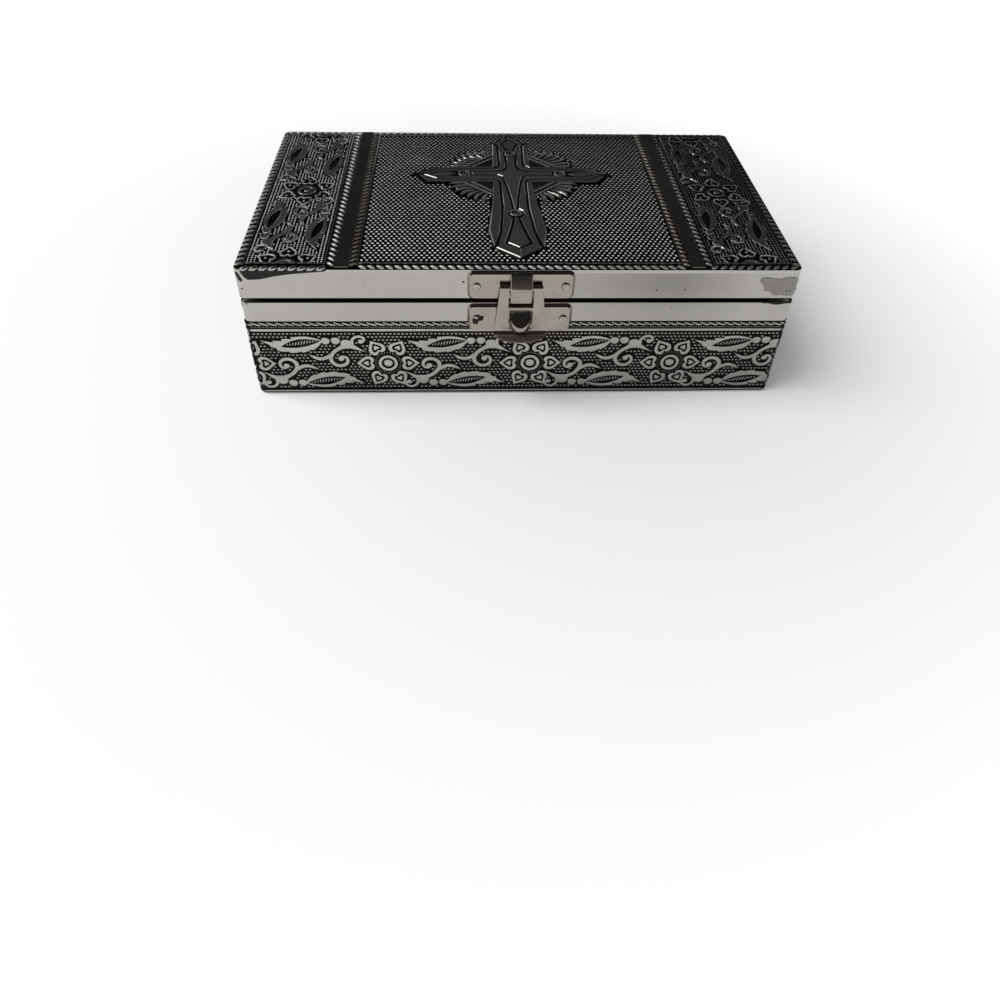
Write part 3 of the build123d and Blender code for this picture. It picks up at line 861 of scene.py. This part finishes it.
def beadRows(name, bead, low, high, stepU, stepV, staggered):
    # rows of beads that fill a rectangle from its middle outwards
    countU = int((high[0] - low[0]) / stepU)
    countV = int((high[1] - low[1]) / stepV)
    startU = (low[0] + high[0] - (countU - 1) * stepU) / 2
    startV = (low[1] + high[1] - (countV - 1) * stepV) / 2
    sets = 2 if staggered else 1
    fields = []
    for n in range(sets):
        field = copied(bead, shift(startU + n * stepU / 2, startV + n * stepV))
        repeated(field, countU - n, (stepU, 0, 0))
        fields.append(repeated(field, (countV - n + sets - 1) // sets, (0, sets * stepV, 0)))
    bpy.data.objects.remove(bead)
    return joined(name, fields)


clearing = {
    "directions": 8,
    "above": 5,
    "lowest": 0.1,
    "foot": 0.01,
}


def clearUnder(field, covers, size, margin):
    # deletes every bead, of so many points, that lies under the raised work or nearly touches it,
    # and the lowest ring of the others
    above, sides = clearing["above"], clearing["directions"]
    roofs = [BVHTree.FromObject(cover, bpy.context.evaluated_depsgraph_get()) for cover in covers]
    around = [Vector((0, 0, above))]
    for n in range(sides):
        angle = 2 * math.pi * n / sides
        around.append(Vector((margin * math.cos(angle), margin * math.sin(angle), above)))
    down = Vector((0, 0, -1))
    points = field.data.vertices
    gone = set()
    for start in range(0, len(points), size):
        bead = range(start, start + size)
        middle = sum((points[n].co for n in bead), Vector()) / size
        middle.z = 0
        hits = (roof.ray_cast(middle + offset, down)[0] for roof in roofs for offset in around)
        if any(hit is not None and hit.z > clearing["lowest"] for hit in hits):
            gone.update(bead)

    def unwanted(point):
        return point.index in gone or point.co.z < clearing["foot"]

    editedWhere(field, "VERT", unwanted, bpy.ops.mesh.delete, type="VERT")


def clearedBeads(name, bead, low, high, steps, staggered, covers, margin):
    size = len(bead.data.vertices)
    field = beadRows(name, bead, low, high, *steps, staggered)
    clearUnder(field, covers, size, margin)
    return field


def makeRope(name, length, pitch, strandSize, lean):
    # a row of leaning strands along +X from the origin
    count = round(length / pitch)
    pitch = length / count
    strand = moved(boss(name, 0, 0, 1, 1, 8, 6), turn(90, "Y"))
    moved(strand, shift(pitch / 2, 0) @ turn(lean) @ stretch(*strandSize))
    return repeated(strand, count, (pitch, 0, 0))


# the body's band, drawn flat along u and then folded round the box

band = {
    "centre": 14.7,
    "firstFlower": 4.7,
    "beadSize": (0.56, 0.52, 0.42),
    "beadSteps": (1.51, 1.36),
    "beadLevels": (2.4, 29.0),
    "beadMargin": 0.5,
    # level, half height and rise of the plain lines
    "lines": ((29.65, 0.55, 0.42), (1.55, 0.4, 0.36)),
    "lineEdge": 0.18,
    # level, step and size of the fine ribs above them
    "teeth": (30.75, 0.95, (0.3, 0.42, 0.3)),
    # pitch, strand and lean of the rope
    "rope": (3.0, (2.2, 0.6, 0.6), -18),
    "ropeLevel": 32.25,
    "patternHalf": 50,
    "hem": 2.2,
    "sheetEdge": 0.05,
}
# how far ropes lie above a sheet, and lines and bars reach into it
ropeLift = 0.05
sink = 0.2
flatEnd = box["length"] / 2 - box["corner"]
flatSide = box["depth"] / 2 - box["corner"]
cornerArc = math.pi / 2 * box["corner"]
halfRound = 2 * flatEnd + 2 * flatSide + 2 * cornerArc


def foldPlace(u):
    # place and outward direction on the box's outline, u from the front's middle
    side = 1 if u >= 0 else -1
    rest = abs(u) - flatEnd
    if rest <= 0:
        return (u, -box["depth"] / 2), (0, -1)
    if rest <= cornerArc:
        angle = rest / box["corner"]
        out = (side * math.sin(angle), -math.cos(angle))
        return (side * flatEnd + box["corner"] * out[0], -flatSide + box["corner"] * out[1]), out
    rest -= cornerArc
    if rest <= 2 * flatSide:
        return (side * box["length"] / 2, rest - flatSide), (side, 0)
    rest -= 2 * flatSide
    if rest <= cornerArc:
        angle = rest / box["corner"]
        out = (side * math.cos(angle), math.sin(angle))
        return (side * flatEnd + box["corner"] * out[0], flatSide + box["corner"] * out[1]), out
    rest -= cornerArc
    return (side * (flatEnd - rest), box["depth"] / 2), (0, 1)


def folded(piece):
    # x along the outline, y the level and z the height above the wall
    for point in piece.data.vertices:
        (x, y), (outX, outY) = foldPlace(point.co.x)
        height = point.co.z
        point.co = (x + height * outX, y + height * outY, point.co.y)
    return piece


def creased(piece):
    # folded after cuts that let it follow the corners
    cuts = []
    for side in (-1, 1):
        for start in (flatEnd, flatEnd + cornerArc + 2 * flatSide):
            cuts += [side * (start + cornerArc * n / 4) for n in range(5)]
    across = ({"plane_co": (u, 0, 0), "plane_no": (1, 0, 0)} for u in cuts)
    return folded(edited(piece, *((bpy.ops.mesh.bisect, cut) for cut in across)))


def alongBand(name, pattern):
    # the pattern once for every flower round the box, cut off at the seam behind
    first = band["firstFlower"]
    count = math.ceil(halfRound / motif["pitch"])
    places = [first + n * motif["pitch"] for n in range(-count, count + 1)]
    reach = halfRound + band["patternHalf"]
    strip = joined(name, [copied(pattern, shift(u, band["centre"])) for u in places if abs(u) < reach])
    trimmed(strip, (-halfRound, 0, 0), (1, 0, 0))
    return trimmed(strip, (halfRound, 0, 0), (-1, 0, 0))


def makeBandLines():
    lines = []
    for level, half, rise in band["lines"]:
        low = (-halfRound, level - half, -sink)
        lines.append(bar("Line", low, (halfRound, level + half, rise), band["lineEdge"]))
    return joined("BandLines", lines)


def makeBandSheet():
    # plain ground of the band and its hem under the base
    low, thick, edge = box["bandBottom"], box["sheet"], band["sheetEdge"]
    wall = bar("Wall", (-halfRound, low, -thick), (halfRound, box["bandTop"], 0), edge)
    hem = bar("Hem", (-halfRound, low, -band["hem"]), (halfRound, low + thick, -edge), edge)
    return joined("BandSheet", [wall, hem])


def makeTeeth():
    # row of fine upright ribs between the rope and the line
    level, step, size = band["teeth"]
    low, high = (-halfRound + 0.5, level - 0.5), (halfRound - 0.5, level + 0.5)
    return beadRows("BandTeeth", makeBead(*size), low, high, step, 1.0, False)


def makeBand():
    relief = alongBand("BandRelief", bandMotif)
    shade = alongBand("Shade", shadeMotif)
    low, high = band["beadLevels"]
    beads = clearedBeads(
        "BandBeads", makeBead(*band["beadSize"]), (1 - halfRound, low), (halfRound - 1, high),
        band["beadSteps"], True, (relief, shade), band["beadMargin"],
    )
    bpy.data.objects.remove(shade)
    rope = makeRope("BandRope", 2 * halfRound, *band["rope"])
    moved(rope, shift(-halfRound, band["ropeLevel"], ropeLift))
    pieces = (
        (makeBandSheet(), "bandGround"), (relief, "bandRelief"), (beads, "bandBeads"),
        (makeBandLines(), "bandRelief"), (makeTeeth(), "bandBeads"), (rope, "bandRelief"),
    )
    for piece, finish in pieces:
        finished(creased(piece), "body", finish, ["embossed_body_band"], 50)
        print(piece.name, len(piece.data.polygons))


makeBand()


# the lid

lid = {
    "sheetDeep": 1.5,
    "sheetRound": 0.5,
    "fieldHalfX": 57.0,
    "fieldHalfY": 54.9,
    "dotSteps": (1.9, 1.705),
    "dotSize": (0.56, 0.61, 0.42),
    "dotMargin": 0.35,
    "panelFrom": 69.2,
    "panelTo": 96.3,
    "panelHalfY": 55.4,
    "panelCentre": 82.2,
    "motifPitch": 57.0,
    "ribSteps": (1.22, 1.3),
    "ribSize": (0.38, 0.53, 0.4),
    "ribMargin": 0.45,
    # first and last X, rise, edge, and how far the bars stop short of the front and back
    "bars": (60.1, 65.3, 0.5, 0.4, 1),
    # thin lines: places, half widths, rise, edge and how far they stop short
    "linesX": (57.35, 68.85, 96.8),
    "lineY": 55.6,
    "lineHalfX": 0.3,
    "lineHalfY": 0.35,
    "lineRise": 0.36,
    "lineEdge": 0.22,
    "lineShort": 2.6,
    # middle of the rope from the lid's middle, pitch, strand, lean on the left and on the right
    "outerRope": (98.3, 3.33, (1.5, 0.58, 0.66), -62, -118),
    "barRope": (66.7, 3.33, (1.75, 0.56, 0.66), -132, -132),
    "innerRope": (58.8, 3.05, (1.5, 0.66, 0.5), -48, -132),
    "ropeShort": 1.5,
    # ropes along the front and the back: middle, pitch, strand, lean, first and last X
    "ropesAcross": (
        (-58.35, 3.08, (1.7, 0.68, 0.7), -32, -57.0, 58.0),
        (-58.35, 3.25, (1.7, 0.66, 0.66), 30, 67.0, 98.5),
        (57.9, 3.08, (1.6, 0.62, 0.42), -32, -98.5, 98.5),
    ),
}


def makeLidSheet():
    halfX, halfY, top = box["length"] / 2, box["depth"] / 2, box["lidGround"]
    sheet = block("LidSheet", Vector((-halfX, -halfY, top - lid["sheetDeep"])), Vector((halfX, halfY, top)))

    def upright(middle, directions):
        return all(abs(direction.z) < 0.1 for direction in directions)

    def upper(middle, directions):
        return middle.z > top - 0.01

    eased(sheet, upright, box["corner"], 6)
    eased(sheet, upper, lid["sheetRound"], 4)
    editedWhere(sheet, "FACE", lambda face: face.normal.z < -0.9, bpy.ops.mesh.delete, type="FACE")
    return worked(sheet, "SOLIDIFY", thickness=box["sheet"], offset=-1)


crossShape = {
    "baseRise": 0.36,
    "panelRise": 0.72,
    "edge": 0.3,
    "outline": [
        (0, 53.9), (7.3, 47.3), (8.4, 23.3), (31.0, 22.4), (35.3, 20.3), (41.6, 15.4), (35.2, 7.6),
        (8.5, 7.9), (9.4, -12.0), (11.2, -32.8), (9.2, -45.4), (0, -53.5),
    ],
    # panels between the grooves, right half only
    "outerStrip": [
        (7.4, 46.0), (5.8, 44.2), (5.5, 26.2), (6.0, 23.6), (7.7, 21.6), (31.4, 20.3), (37.6, 15.8),
        (38.6, 16.2), (34.9, 19.4), (30.9, 21.6), (7.9, 22.6),
    ],
    "innerStrip": [
        (0, 52.8), (6.2, 47.1), (4.8, 44.0), (4.7, 26.0), (5.2, 22.8), (7.2, 20.8), (31.2, 19.5),
        (36.6, 15.6), (34.4, 15.5), (29.7, 18.5), (23.2, 18.6), (20.9, 18.5), (8.2, 18.5), (3.8, 19.5),
        (2.5, 22.6), (2.4, 32.4), (3.2, 34.4), (3.2, 36.6), (2.2, 38.6), (2.1, 40.8), (3.8, 46.0), (0, 51.4),
    ],
    "foot": [
        (36.6, 15.0), (31.2, 11.3), (20.0, 10.9), (8.4, 10.9), (5.7, 10.1), (4.8, 8.4), (4.6, -14.0),
        (5.9, -32.8), (7.7, -43.8), (8.5, -45.2), (0, -52.5), (0, -46.3), (5.1, -42.3), (2.6, -30.2),
        (1.4, -22.6), (2.7, -20.9), (3.1, -18.8), (2.7, -16.9), (1.2, -15.4), (1.7, -8.0), (3.0, 4.0),
        (4.4, 12.2), (6.2, 14.1), (17.4, 14.2), (22.6, 13.3), (29.6, 12.6), (34.2, 15.0),
    ],
    "wing": [
        (38.4, 14.4), (34.7, 8.3), (8.0, 8.5), (8.9, -12.0), (10.7, -32.6), (9.2, -44.2), (8.6, -43.2),
        (6.7, -33.0), (5.4, -15.0), (5.6, 8.0), (6.5, 9.5), (8.6, 10.2), (31.4, 10.5), (37.4, 14.7),
    ],
    "core": [
        (0, 32.6), (1.7, 32.4), (1.7, 22.4), (2.8, 19.0), (4.8, 17.8), (16.8, 17.7), (16.6, 15.0),
        (6.0, 14.9), (4.0, 13.4), (3.2, 10.0), (2.2, 3.0), (1.0, -8.0), (0.5, -15.6), (0, -15.8),
    ],
    "armLens": [(23.0, 16.0), (26.0, 17.4), (29.5, 17.6), (33.4, 15.3), (29.5, 13.5), (26.0, 13.9)],
    "rhombus": [(0, 50.2), (3.0, 46.0), (1.4, 41.0), (0.7, 39.2), (0, 38.9)],
    "bell": [(0, -21.7), (0.6, -22.4), (1.7, -30.0), (4.1, -41.7), (0, -45.2)],
    "rings": ((-19.8, 15.9), (19.8, 15.9), (0, -18.8), (0, 35.5)),
    "ringSize": (2.1, 0.45),
    "ringLevel": 0.62,
}


def makeCross():
    def panel(outline, rise=crossShape["panelRise"]):
        return plate("Panel", [outline], rise, crossShape["edge"], False, 0)

    parts = [panel(mirrored(crossShape["outline"]), crossShape["baseRise"])]
    for name in ("outerStrip", "innerStrip", "foot", "wing", "armLens"):
        half = panel(crossShape[name])
        parts += [half, copied(half, stretch(-1, 1))]
    parts += [panel(mirrored(crossShape[name])) for name in ("core", "rhombus", "bell")]
    major, minor = crossShape["ringSize"]
    for u, v in crossShape["rings"]:
        parts.append(moved(torus("Ring", major, minor, 24), shift(u, v, crossShape["ringLevel"])))
        parts.append(boss("RingMiddle", u, v, major - minor, crossShape["panelRise"]))
    return joined("LidCross", parts)


fan = {
    "feathers": 7,
    "places": (6, 80),
    "leans": (40, 66),
    "reach": (9.6, 18.4),
    # half width at the root, the middle and the tip, and how far and which way the middle bends
    "halfWidths": (0.768, 1.28, 0.384),
    "bend": 1.3,
    "bendTurn": -1.2,
    "rayEnds": (8.4, 11.8),
    "rayHalf": 0.6,
    "rayLift": 0.4,
    "web": [(-0.6, -0.6), (12.6, -0.6), (-0.6, 12.6)],
    "webRise": 0.4,
    "webEdge": 0.1,
    "squash": 0.6,
    "lift": 0.1,
    "corners": ((8.0, 22.6, 1, 1), (-8.0, 22.6, -1, 1), (8.3, 8.2, 1, -1), (-8.3, 8.2, -1, -1)),
}


def makeFans():
    # leaning feathers that fill the four corners of the cross, outside two straight rays on a smooth web
    feathers = [plate("Web", [fan["web"]], fan["webRise"], fan["webEdge"], False)]
    for n in range(fan["feathers"]):
        share = n / (fan["feathers"] - 1)
        place = math.radians(between(fan["places"], share))
        lean = math.radians(between(fan["leans"], share)) + fan["bendTurn"]
        root, tip = ((reach * math.cos(place), reach * math.sin(place)) for reach in fan["reach"])
        middle = (
            (root[0] + tip[0]) / 2 + fan["bend"] * math.cos(lean),
            (root[1] + tip[1]) / 2 + fan["bend"] * math.sin(lean),
        )
        route = [(*point, half) for point, half in zip((root, middle, tip), fan["halfWidths"])]
        feathers.append(ridge("Feather", route, steps=5, sides=1))
    for far in fan["rayEnds"]:
        ray = ridge("Ray", [(0, far, fan["rayHalf"]), (far, 0, fan["rayHalf"])], steps=2, sides=3)
        feathers.append(moved(ray, shift(0, 0, fan["rayLift"])))
    whole = moved(joined("Fan", feathers), stretch(1, 1, fan["squash"]))
    fans = [copied(whole, shift(u, v) @ stretch(flipU, flipV)) for u, v, flipU, flipV in fan["corners"]]
    bpy.data.objects.remove(whole)
    return joined("LidFans", fans)


def makeField(cover):
    halfX, halfY = lid["fieldHalfX"], lid["fieldHalfY"]
    return clearedBeads(
        "LidDots", makeBead(*lid["dotSize"], sides=8), (-halfX, -halfY), (halfX, halfY),
        lid["dotSteps"], True, [cover], lid["dotMargin"],
    )


def alongPanels(name, pattern):
    # the band's motif again, mirrored and turned along the lid's two sides
    along = lid["motifPitch"] / motif["pitch"]
    copies = []
    for side in (-1, 1):
        for n in (-1, 0, 1):
            rows = (
                (0, -1, 0, side * lid["panelCentre"]), (-along, 0, 0, n * lid["motifPitch"]),
                (0, 0, 1, 0), (0, 0, 0, 1),
            )
            copies.append(copied(pattern, Matrix(rows)))
    strip = joined(name, copies)
    trimmed(strip, (0, -lid["panelHalfY"], 0), (0, 1, 0))
    return trimmed(strip, (0, lid["panelHalfY"], 0), (0, -1, 0))


def makeRibs(covers):
    fields = [
        clearedBeads(
            "Ribs", makeBead(*lid["ribSize"]), (start, -lid["panelHalfY"]), (end, lid["panelHalfY"]),
            lid["ribSteps"], False, covers, lid["ribMargin"],
        )
        for start, end in ((-lid["panelTo"], -lid["panelFrom"]), (lid["panelFrom"], lid["panelTo"]))
    ]
    return joined("LidRibs", fields)


def sideRopes(x, pitch, strand, leanLeft, leanRight):
    ropes = []
    deep = box["depth"] - 2 * lid["ropeShort"]
    for side, lean in ((-1, leanLeft), (1, leanRight)):
        rope = makeRope("Rope", deep, pitch, strand, lean)
        ropes.append(moved(rope, shift(side * x, -deep / 2, ropeLift) @ turn(90)))
    return ropes


def makeLidRopes():
    ropes = sideRopes(*lid["outerRope"]) + sideRopes(*lid["barRope"])
    for y, pitch, strand, lean, start, end in lid["ropesAcross"]:
        rope = makeRope("Rope", end - start, pitch, strand, lean)
        ropes.append(moved(rope, shift(start, y, ropeLift)))
    return joined("LidRopes", ropes)


def makeLidLines():
    # thin raised lines that frame the fields
    deep = box["depth"] / 2 - lid["lineShort"]
    halfX, halfY = lid["lineHalfX"], lid["lineHalfY"]
    panel = (lid["panelFrom"], lid["panelTo"])
    spans = []
    for side in (-1, 1):
        spans += [(side * x - halfX, side * x + halfX, -deep, deep) for x in lid["linesX"]]
        y = side * lid["lineY"]
        for start, end in ((-lid["fieldHalfX"], lid["fieldHalfX"]), (-panel[1], -panel[0]), panel):
            spans.append((start, end, y - halfY, y + halfY))
    lines = [
        bar("Line", (left, front, -sink), (right, back, lid["lineRise"]), lid["lineEdge"])
        for left, right, front, back in spans
    ]
    return joined("LidLines", lines)


def makeLidBars():
    inner, outer, rise, edge, short = lid["bars"]
    deep = box["depth"] / 2 - short
    bars = [
        bar("Bar", (start, -deep, -sink), (end, deep, rise), edge, 3)
        for start, end in ((-outer, -inner), (inner, outer))
    ]
    return joined("LidBars", bars)


def makeLid():
    cross = makeCross()
    fans = makeFans()
    cover = joined("Cover", [copied(cross, Matrix()), copied(fans, Matrix())])
    field = makeField(cover)
    bpy.data.objects.remove(cover)
    panels = alongPanels("LidPanels", lidMotif)
    shade = alongPanels("Shade", shadeMotif)
    ribs = makeRibs((panels, shade))
    bpy.data.objects.remove(shade)
    ground = box["lidGround"]
    pieces = (
        (makeLidSheet(), "lidGround", 50, 0),
        (cross, "lidCross", 20, ground),
        (fans, "lidFan", 30, ground + fan["lift"]),
        (field, "lidBeads", 50, ground),
        (panels, "lidRelief", 20, ground),
        (ribs, "lidRibs", 50, ground),
        (makeLidRopes(), "lidRope", 50, ground),
        (joined("LidInnerRopes", sideRopes(*lid["innerRope"])), "lidInnerRope", 50, ground),
        (makeLidLines(), "lidLine", 30, ground),
        (makeLidBars(), "lidBar", 12, ground),
    )
    for piece, finish, angle, level in pieces:
        finished(piece, "lid", finish, ["embossed_lid_sheet"], angle, level)
        print(piece.name, len(piece.data.polygons))


fold = {
    # strands that lie over the front edge at its left end: first and last X, pitch, strand, lean
    "span": (-97.5, -68.0),
    "rope": (3.35, (1.85, 0.8, 0.66), 16),
    "level": 54.65,
    "behindFront": 0.35,
    "over": 52,
    # painted shade: a black sheet beneath them, as places along the front and levels
    "hollow": [
        (-97.6, 54.5), (-67.6, 54.5), (-68.4, 53.7), (-74.0, 53.2), (-80.0, 52.7), (-86.0, 51.8),
        (-91.0, 50.6), (-95.2, 50.4), (-96.4, 51.4), (-97.2, 53.0),
    ],
    "foldShadeRise": 0.2,
    "foldShadeEdge": 0.05,
}


def makeLidFold():
    # the end of the front rope, pushed over the edge
    low, high = fold["span"]
    rope = makeRope("LidFold", high - low, *fold["rope"])
    place = shift(low, fold["behindFront"] - box["depth"] / 2, fold["level"])
    # painted shade: a black sheet in the corrosion finish under the folded strands
    hollow = plate("LidFoldShade", [fold["hollow"]], fold["foldShadeRise"], fold["foldShadeEdge"], False, 0)
    folded(moved(hollow, shift(0, 0, -fold["foldShadeEdge"])))
    moved(rope, place @ turn(fold["over"], "X"))
    for piece, finish in ((rope, "brightStrip"), (hollow, "corrosion")):
        finished(piece, "lid", finish, ["embossed_lid_sheet"], 50)


makeLid()
makeLidFold()
for pattern in (bandMotif, lidMotif, shadeMotif):
    bpy.data.objects.remove(pattern)
print("lid made")


# latch, strips, nails and hinges

softening = {
    "merge": 0.005,
    "flatWithin": 1,
    "sharpBeyond": 28,
}


def softened(node, name, width, segments=2, eases=()):
    # the part's own shape, its edges rounded
    piece = copied(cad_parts[node], toMetres.inverted())
    piece.name = name
    piece.parent = None
    piece.matrix_world = Matrix()
    edited(
        piece,
        (bpy.ops.mesh.remove_doubles, {"threshold": softening["merge"]}),
        (bpy.ops.mesh.dissolve_limited, {"angle_limit": math.radians(softening["flatWithin"])}),
    )
    for ease in eases:
        eased(piece, *ease)
    limit = {"limit_method": "ANGLE", "angle_limit": math.radians(softening["sharpBeyond"])}
    return worked(piece, "BEVEL", width=width, segments=segments, **limit)


latch = {
    "edge": 0.14,
    "plateEdge": 0.5,
    "plateOut": 1.2,
    "plateHalf": 17.6,
    "plateRim": 1.05,
    "tongueEdge": 0.55,
    "tongueHalf": 3.9,
    "haspEdge": 0.62,
    "haspHalf": 7.2,
    "nailRise": 0.95,
    "nailTop": 0.62,
    # radius and length of a nail's shank, and its middle behind the node's front
    "shank": (0.65, 5, 3.4),
}
latchFace = -box["depth"] / 2 - latch["plateOut"]


def makePlate(node, name, body):
    low, high = sizeOf(node)

    def onFace(middle, directions):
        nearest = min(middle.z - low.z, high.z - middle.z)
        rim = abs(middle.x) > latch["plateHalf"] or nearest < latch["plateRim"]
        fronts = [direction for direction in directions if direction.y < -0.99]
        return abs(middle.y - latchFace) < 0.03 and rim and len(fronts) == 1

    def onTongue(middle, directions):
        beside = abs(abs(middle.x) - latch["tongueHalf"]) < 0.2 and middle.y < latchFace - 0.2
        sides = any(abs(direction.x) > 0.9 for direction in directions)
        return beside and sides and any(0.6 * way.z - 0.8 * way.y > 0.25 for way in directions)

    eases = [(onFace, latch["plateEdge"], 3)]
    if body == "lid":
        eases.append((onTongue, latch["tongueEdge"], 3, False))
    piece = softened(node, name, latch["edge"], eases=eases)
    finished(piece, body, "latchNickel", [node], 30)


def makeHasp():
    def onSide(middle, directions):
        sides = any(abs(direction.x) > 0.9 for direction in directions)
        return abs(middle.x) > latch["haspHalf"] and sides and any(way.y < -0.9 for way in directions)

    hasp = softened("hasp", "Hasp", latch["edge"], eases=[(onSide, latch["haspEdge"], 2)])
    finished(hasp, "hasp", "haspNickel", ["hasp"], 30)


marks = {
    # outlines as places along the front and levels, which the corners then fold
    "lap": [
        (85.4, 50.8), (86.2, 51.3), (87.8, 51.5), (90.2, 51.2), (92.5, 50.9), (94.9, 51.5), (97.4, 51.6),
        (99.0, 51.1), (100.2, 49.2), (101.0, 46.2), (100.0, 44.6), (98.0, 44.1), (96.0, 44.0), (94.0, 44.4),
        (92.3, 44.1), (90.9, 44.8), (89.4, 46.0), (88.0, 45.9), (87.3, 48.2), (86.0, 49.3),
    ],
    # painted shade: a near-black mark where the body's strip is pressed in, under the seam of the lid
    "seam": [
        (88.0, 41.18), (90.0, 41.2), (93.0, 41.2), (96.0, 41.2), (99.0, 41.2), (101.6, 41.2), (101.4, 40.3),
        (100.2, 39.9), (99.0, 40.6), (97.2, 40.8), (95.8, 40.5), (94.2, 40.25), (92.2, 40.45), (90.2, 40.9),
    ],
    "streak": [(-99.6, 53.0), (-98.4, 53.2), (-97.7, 51.6), (-97.2, 50.0), (-98.1, 49.8), (-99.0, 51.4)],
    "corrosion": [
        (-17.3, 34.1), (-16.7, 35.9), (-15.6, 35.2), (-15.0, 36.5), (-14.2, 35.6), (-13.3, 35.9),
        (-14.0, 34.7), (-15.0, 34.6), (-15.2, 33.5), (-16.4, 33.2),
    ],
    # place, level and radius of the dark specks
    "lidSpecks": (
        (-98.0, 46.8, 0.4), (-99.6, 43.3, 0.35), (-20.4, 49.6, 0.45), (48.7, 46.3, 0.35), (59.1, 46.4, 0.3),
        (-55.0, 49.0, 0.2),
    ),
    "lapSpecks": ((96.0, 46.1, 0.42), (97.4, 46.3, 0.3), (100.2, 46.0, 0.45)),
    "bodySpecks": ((-100.0, 40.2, 0.4), (-100.1, 39.3, 0.45), (-97.6, 40.7, 0.3), (55.4, 38.6, 0.2)),
    "edge": 0.04,
    "speckTurn": 40,
    # outline, body, finish, slot, how far out it lies and its rise
    "laid": {
        "FoilLap": ("lap", "lid", "foilLap", "bright_strip", 0, 0.14),
        "LidStreak": ("streak", "lid", "corrosion", "bright_strip", 0, 0.1),
        # painted shade in the corrosion finish, in the gap under the lid's seam
        "SeamWear": ("seam", "body", "corrosion", "bright_strip", 0, 0.1),
        "NailCorrosion": ("corrosion", "body", "corrosion", "latch_nickel", latch["plateOut"], 0.72),
    },
    "specked": {
        "LidSpecks": ("lidSpecks", "lid", 0.12),
        "LapSpecks": ("lapSpecks", "lid", 0.27),
        "BodySpecks": ("bodySpecks", "body", 0.12),
    },
}


def makeMark(name, outline, body, finish, slot, out, rise):
    # thin shape laid on the front, this far out of it
    mark = plate(name, [outline], rise, marks["edge"], True, 0)
    finished(creased(moved(mark, shift(0, 0, out))), body, finish, (), 40)


def makeSpecks(name, places, body, rise):
    specks = []
    for u, level, radius in places:
        speck = boss("Speck", 0, 0, radius, rise, 7, 4)
        specks.append(moved(speck, shift(u, level) @ turn(marks["speckTurn"] * u)))
    finished(folded(joined(name, specks)), body, "corrosion", (), 40)


for name, (outline, *values) in marks["laid"].items():
    makeMark(name, marks[outline], *values)
for name, (places, *values) in marks["specked"].items():
    makeSpecks(name, marks[places], *values)
makePlate("lid_latch_plate", "LidLatchPlate", "lid")
makePlate("body_latch_plate", "BodyLatchPlate", "body")
makeHasp()
print("latch made")


def makeNails(node, name, body):
    # flat-topped heads with steep rims on round shanks
    low, high = sizeOf(node)
    level = (low.z + high.z) / 2
    radius = (high.z - low.z) / 2
    thick, long, back = latch["shank"]
    heads = []
    for side in (-1, 1):
        x = side * ((high.x - low.x) / 2 - radius)
        head = levelled(boss(name, 0, 0, radius, latch["nailRise"], 20, 12), latch["nailTop"])
        moved(head, shift(x, latchFace, level) @ turn(90, "X"))
        bpy.ops.mesh.primitive_cylinder_add(vertices=10, radius=thick, depth=long)
        shank = moved(named("Shank"), shift(x, low.y + back, level) @ turn(90, "X"))
        heads += [head, shank]
    finished(joined(name, heads), body, "nailSteel", [node], 30)


makeNails("lid_latch_nails", "LidLatchNails", "lid")
makeNails("body_latch_nails", "BodyLatchNails", "body")


def paintNodes():
    # CAD pieces whose shape is right as it stands
    parts = ("body_leaf", "lid_leaf", "pin")
    leaves = [side + "_hinge_" + part for side in ("left", "right") for part in parts]
    paints = {
        "brightStrip": ("lid_rim_strip", "plain_rim_strip"),
        "hingeBrass": leaves,
        "nailSteel": ("hinge_body_nails", "hinge_lid_nails"),
        "fibreboard": (
            "front_panel", "back_panel", "left_panel", "right_panel", "base_panel",
            "lid_board", "lid_front_rail", "lid_back_rail", "lid_left_rail", "lid_right_rail",
        ),
    }
    for finish, nodes in paints.items():
        for node in nodes:
            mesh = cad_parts[node].data
            mesh.materials.clear()
            mesh.materials.append(finishes[finish])


paintNodes()
print("nodes painted")


# linings, pads and cover

padding = {
    "liningEdge": 0.4,
    "feltEdge": 0.15,
    "cuts": 31,
    "edgePowers": (10, 8),
    # how far the edges drop and the ripples dip, as shares of the pad's thickness
    "edgeDrop": 0.42,
    "rippleDrop": 0.14,
    # waves along u and v of the two ripples
    "ripples": ((5.3, 1.1), (-1.7, 3.1)),
}


def makeLinings():
    for prefix, body in (("", "body"), ("lid_", "lid")):
        for side in ("front", "back", "left", "right"):
            node = prefix + side + "_lining"
            lining = softened(node, node.title().replace("_", ""), padding["liningEdge"], 3)
            finished(lining, body, "velvet", [node], 60)


def makePad(node, name, body, upwards):
    low, high = sizeOf(node)
    pad = edited(block(name, low, high), (bpy.ops.mesh.subdivide, {"number_cuts": padding["cuts"]}))
    middle = (low + high) / 2
    half = (high - low) / 2
    thick = high.z - low.z
    powerU, powerV = padding["edgePowers"]
    for point in pad.data.vertices:
        u, v = (point.co.x - middle.x) / half.x, (point.co.y - middle.y) / half.y
        crown = (1 - abs(u) ** powerU) * (1 - abs(v) ** powerV)
        waves = [math.sin(waveU * u + waveV * v) for waveU, waveV in padding["ripples"]]
        ripple = (2 + sum(waves)) / 4
        drop = thick * (padding["edgeDrop"] * (1 - crown) + padding["rippleDrop"] * ripple * crown)
        share = (point.co.z - low.z) / thick
        if upwards:
            point.co.z -= drop * share
        else:
            point.co.z += drop * (1 - share)
    finished(pad, body, "velvet", [node], 80)


def makeCover():
    felt = softened("base_cover", "BaseFelt", padding["feltEdge"])
    finished(felt, "body", "coverFelt", ["base_cover"], 60)


makeLinings()
makePad("floor_pad", "FloorPad", "body", True)
makePad("lid_pad", "LidPad", "lid", False)
makeCover()
print("linings made")
